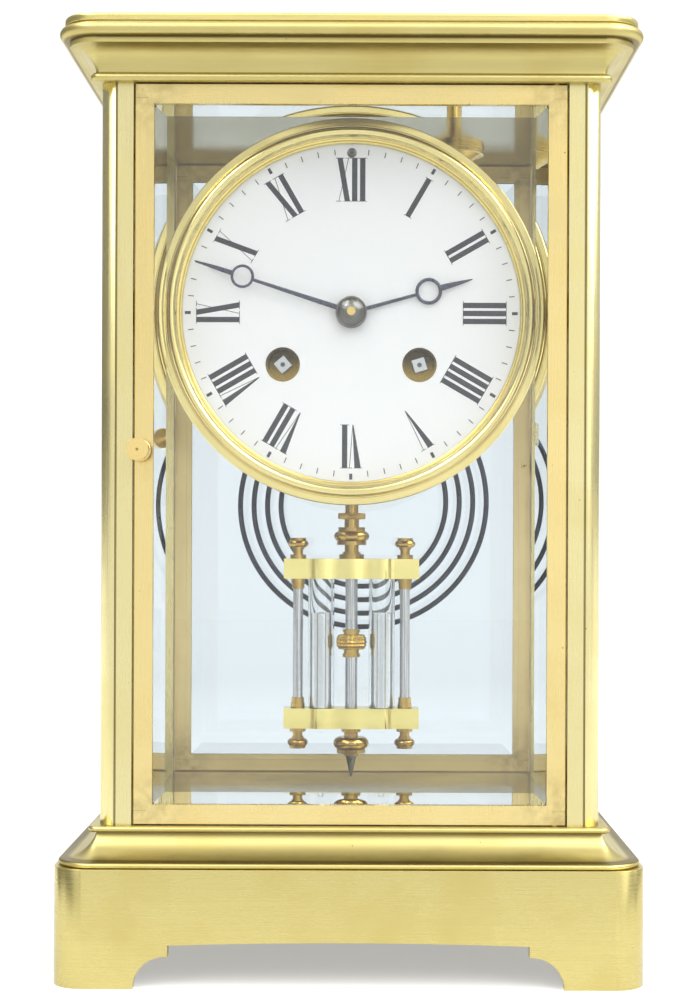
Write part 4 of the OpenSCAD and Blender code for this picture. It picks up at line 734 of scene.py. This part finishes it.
def blade(v0, v1, w0, w1, swell=0.0, steps=16, sides=12):
    """A tapered bar along v: an ellipse as wide as the taper, with its middle swelled.

    The width runs from w0 to w1 and gains swell sin(pi s) on the way, for s from 0 to 1.
    """
    s = np.linspace(0, 1, steps)[:, None]
    a = np.linspace(0, 2 * math.pi, sides, endpoint=False)
    half = (w0 + (w1 - w0) * s + swell * np.sin(math.pi * s)) / 2
    return np.stack(np.broadcast_arrays(half * np.cos(a), v0 + (v1 - v0) * s, hand_t / 2 * np.sin(a)), 2)


def moon(mid, outer, wall, steps=64, sides=12):
    """A ring round v = mid: an ellipse as wide as the wall, carried round a circle."""
    t = np.linspace(0, 2 * math.pi, steps)[:, None]
    a = np.linspace(0, 2 * math.pi, sides, endpoint=False)
    r = outer - wall / 2 + wall / 2 * np.cos(a)
    return np.stack(np.broadcast_arrays(r * np.sin(t), mid + r * np.cos(t), hand_t / 2 * np.sin(a)), 2)


def centre_disc(bore, steps=64):
    """A flat round centre with a hole: a rectangle carried round the hand's axis."""
    t = np.linspace(0, 2 * math.pi, steps)[:, None]
    r = np.array([bore, hand_hub, hand_hub, bore])
    h = np.array([-1, -1, 1, 1]) * hand_t / 2
    return np.stack(np.broadcast_arrays(r * np.sin(t), r * np.cos(t), h), 2)


def moon_hand(node, degrees, stem, ring, tip, bore):
    """A hand of stem widths, ring (place, radius, wall) and tip (width, end), turned to its hour."""
    low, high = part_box(node)
    middle = (low[1] + high[1]) / 2
    mid, outer, wall = ring
    grids = []
    for grid in (blade(stem_from, mid - outer + wall / 2, *stem), moon(mid, outer, wall),
                 blade(mid + outer - wall / 2, tip[1], tip[0], tip_end, tip_swell), centre_disc(bore)):
        x, z = clockwise(grid[..., 0], grid[..., 1], degrees)
        grids.append(np.stack([x * MM, middle - grid[..., 2] * MM, dial_z + z * MM], 2))
    hand = surface(node + "_filed", *grids, close_v=True)
    hand.data.materials.append(hand_steel)
    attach(hand, node)
    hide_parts(node)


hand_steel = streaked_steel("steel_blued_hand", (1 / 0.8,) * 3, ("#585A66", "#41434F"), 0.26)
moon_hand("minute_hand", degrees=287.9, stem=(1.5, 0.85), ring=(32, 3.29, 0.75), tip=(1.4, 46), bore=2.25)
moon_hand("hour_hand", degrees=74.5, stem=(1.1, 0.85), ring=(22.5, 3.75, 0.95), tip=(1.7, 35.2), bore=3.15)

# Boss: a domed collet turned in steel, with a raised rim and a bore for the pipe. It holds the
# minute hand in place.
boss_bore = 1.25
boss_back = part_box("hand_collet")[1][1]
boss_profile = ([[boss_bore, 0], [hand_hub, 0], [hand_hub, 0.4]]
                + arc((hand_hub - 0.25, 0.4), 0.25, 0, 150, 6)
                + [[hand_hub - 0.6, 0.45]] + arc((0, -4.1), 5.86, 50.5, 78, 12)
                + [[boss_bore, 1.2], [boss_bore, 0]])
boss = turned("hand_boss", boss_profile, (0, boss_back, dial_z), (0, -1, 0), 96)
boss_tints = ("#73716D", "#565450", "#37332F")
boss.data.materials.append(lathed("steel_turned_boss", (0, 0, dial_z), "Y", boss_tints, 0.28))
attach(boss, "minute_hand")
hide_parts("hand_collet")

# Movement: brass plates and wheels, filed and polished, with steel arbors and clicks. Turned
# pillars hold the plates apart.
# The pipe is painted in the winding holes' dark tints with a dark centre: painted shade deep in the boss's
# bore.
pipe_brass = lathed("brass_turned_pipe", (0, 0, dial_z), "Y", shade_tints, 0.25, dimple=0.7)
dress(pipe_brass, "cannon_pinion")
dress(movement_brass, "minute_wheel", "hour_wheel", "front_plate", "back_plate",
      "plate_pillars", "going_barrel", "intermediate_wheel", "centre_wheel", "third_wheel",
      "escape_wheel", "strike_barrel", "strike_second_wheel", "strike_third_wheel", "strike_fly",
      "hammer", "gong_post", "pendulum_cock")
dress(bright_steel, "going_click", "strike_click", "pallet_anchor", "suspension_spring")

# Gong: a blued steel rod wound in a flat spiral. Its inner end is held in a brass block on a
# post.
gong_mid = np.array([2.5, 40.0, 130.6])
gong_r, gong_pitch, gong_turns, gong_d = 24.6, 4.4, 3.83, 1.7
gong_lead = 2.5


def rod(name, path, radius, sides=16):
    """A round rod along a path in a plane square to Y: a circle carried along the points.

    Each ring lies across the path's direction, with one axis along Y.
    """
    ahead = np.gradient(path, axis=0)
    ahead /= np.linalg.norm(ahead, axis=1)[:, None]
    depth = np.array([0, 1.0, 0])
    out = np.cross(ahead, depth)
    a = np.linspace(0, 2 * math.pi, sides, endpoint=False)
    ring = radius * (np.cos(a)[None, :, None] * out[:, None] + np.sin(a)[None, :, None] * depth)
    ends = np.stack([np.repeat(path[:1], sides, 0), np.repeat(path[-1:], sides, 0)])
    points = np.concatenate([ends[:1], path[:, None] + ring, ends[1:]])
    return surface(name, points, close_v=True, sharp=50)


turn = np.linspace(0, gong_turns, 460)
coil_r = gong_r + gong_pitch * turn
coil_a = math.pi / 2 + 2 * math.pi * turn
spiral = np.stack([coil_r * np.cos(coil_a), np.zeros_like(turn), coil_r * np.sin(coil_a)], axis=1)
spiral += gong_mid
lead = spiral[0] + np.linspace([gong_lead, 0, 0], [0.2, 0, 0], 8)
gong = rod("gong_coil", np.concatenate([lead, spiral]) * MM, gong_d / 2 * MM)
gong_steel = streaked_steel("steel_blued_gong", (1 / 6,) * 3, ("#18212F", "#343F50"), 0.34)
gong.data.materials.append(gong_steel)
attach(gong, "case")
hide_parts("gong")

# Pendulum rod and bob mounts: turned brass on steel rods, with filed and polished brackets
# round them that hold the vials.
swing_low, swing_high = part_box("rating_nut")
swing_y = (swing_low[1] + swing_high[1]) / 2
bronze_tints = ("#BC9E52", "#64471A", "#35260E")
bob_brass = emeried("brass_turned_upright", (1 / 30, 1 / 30, 1 / 0.7), bronze_tints, 0.15)
bracket_tints = ("#E8DA8C", "#D6C36A", "#6E5A24")
bracket_brass = emeried("brass_polished_bracket", (1 / 30, 1 / 30, 1 / 4), bracket_tints, 0.16)
dress(bracket_brass, "bob_brackets")
ease(0.15, "bob_brackets")
dress(bob_brass, "pendulum_rod", "bob_turnings")
pointer_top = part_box("bob_turnings")[0][2] / MM
steel_tints = ("#D0D2D4", "#94979A")
drawn_steel = streaked_steel("steel_drawn", (1 / 0.4, 1 / 0.4, 1 / 25), steel_tints, 0.2, pointer_top)
dress(drawn_steel, "bob_rods")

# Boss bead: a brass sleeve over the bead on the bob's centre rod, cross-knurled for grip by
# hardened wheels. The knurl is drawn a little coarser than the real one, to show.
bracket_low, bracket_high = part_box("bob_brackets")
bead_up, bead_half, bead_bore = 0.35, 2.25, 3.0
bead_foot, bead_swell = 3.5, 1.05
knurl_pitch, knurl_depth, knurl_ridges = 1.12, 0.13, 24
bead_z = (bracket_low[2] + bracket_high[2]) / 2 + bead_up * MM
rise = np.linspace(-bead_half, bead_half, 61)
bead_r = (bead_foot + bead_swell * np.sqrt(1 - (rise / bead_half) ** 2)
          + knurl_depth * np.cos(2 * math.pi * rise / knurl_pitch))
bead_profile = ([[bead_bore, -bead_half]] + np.stack([bead_r, rise], axis=1).tolist()
                + [[bead_bore, bead_half], [bead_bore, -bead_half]])
bead = turned("boss_bead_knurled", bead_profile, (0, swing_y, bead_z), (0, 0, 1), 288,
              knurl=(knurl_ridges, knurl_depth, bead_bore + 0.1))
bead.data.materials.append(bob_brass)
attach(bead, "pendulum")

# Rating nut: turned brass with a knurled rim, screwed on the rod over the bob. Turning it
# raises or lowers the bob.
nut_r = (swing_high[0] - swing_low[0]) / 2 / MM
nut_h = (swing_high[2] - swing_low[2]) / MM
nut_bore, nut_chamfer, nut_free = 2.1, 0.3, 0.03
nut_rim, nut_flat, nut_top = nut_r - 0.05, nut_r - nut_chamfer, nut_h - nut_free
nut_ridges, nut_knurl = 60, 0.1
nut_profile = [[nut_bore, nut_free], [nut_flat, nut_free], [nut_rim, nut_chamfer],
               [nut_rim, nut_h - nut_chamfer], [nut_flat, nut_top], [nut_bore, nut_top],
               [nut_bore, nut_free]]
nut = turned("rating_nut_knurled", nut_profile, (0, swing_y, swing_low[2]), (0, 0, 1), 360,
             knurl=(nut_ridges, nut_knurl, nut_r - 0.2))
nut.data.materials.append(bob_brass)
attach(nut, "rating_nut")
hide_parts("rating_nut")

# Vials: two drawn glass tubes of mercury, closed at the bottom and held in the brackets. The
# mercury is bright, with faint ripples along the glass.
dress(clear_glass("glass_drawn_tube", "#FAFCFC"), "mercury_vials")
quicksilver, tree = new_material("mercury_liquid")
ripple = add(tree, "TexNoise", {"Vector": object_mm(tree, (1 / 1.5, 1 / 1.5, 1 / 40)), "Scale": 1.0})
add(tree, "OutputMaterial", {"Surface": add(tree, "BsdfPrincipled", {
    "Base Color": add(tree, "Mix", {
        "Factor": ripple, "A": linear("#E4E5E5"), "B": linear("#AEB1B4")}, data_type="RGBA"),
    "Metallic": 1.0, "Roughness": 0.08})})
dress(quicksilver, "mercury")
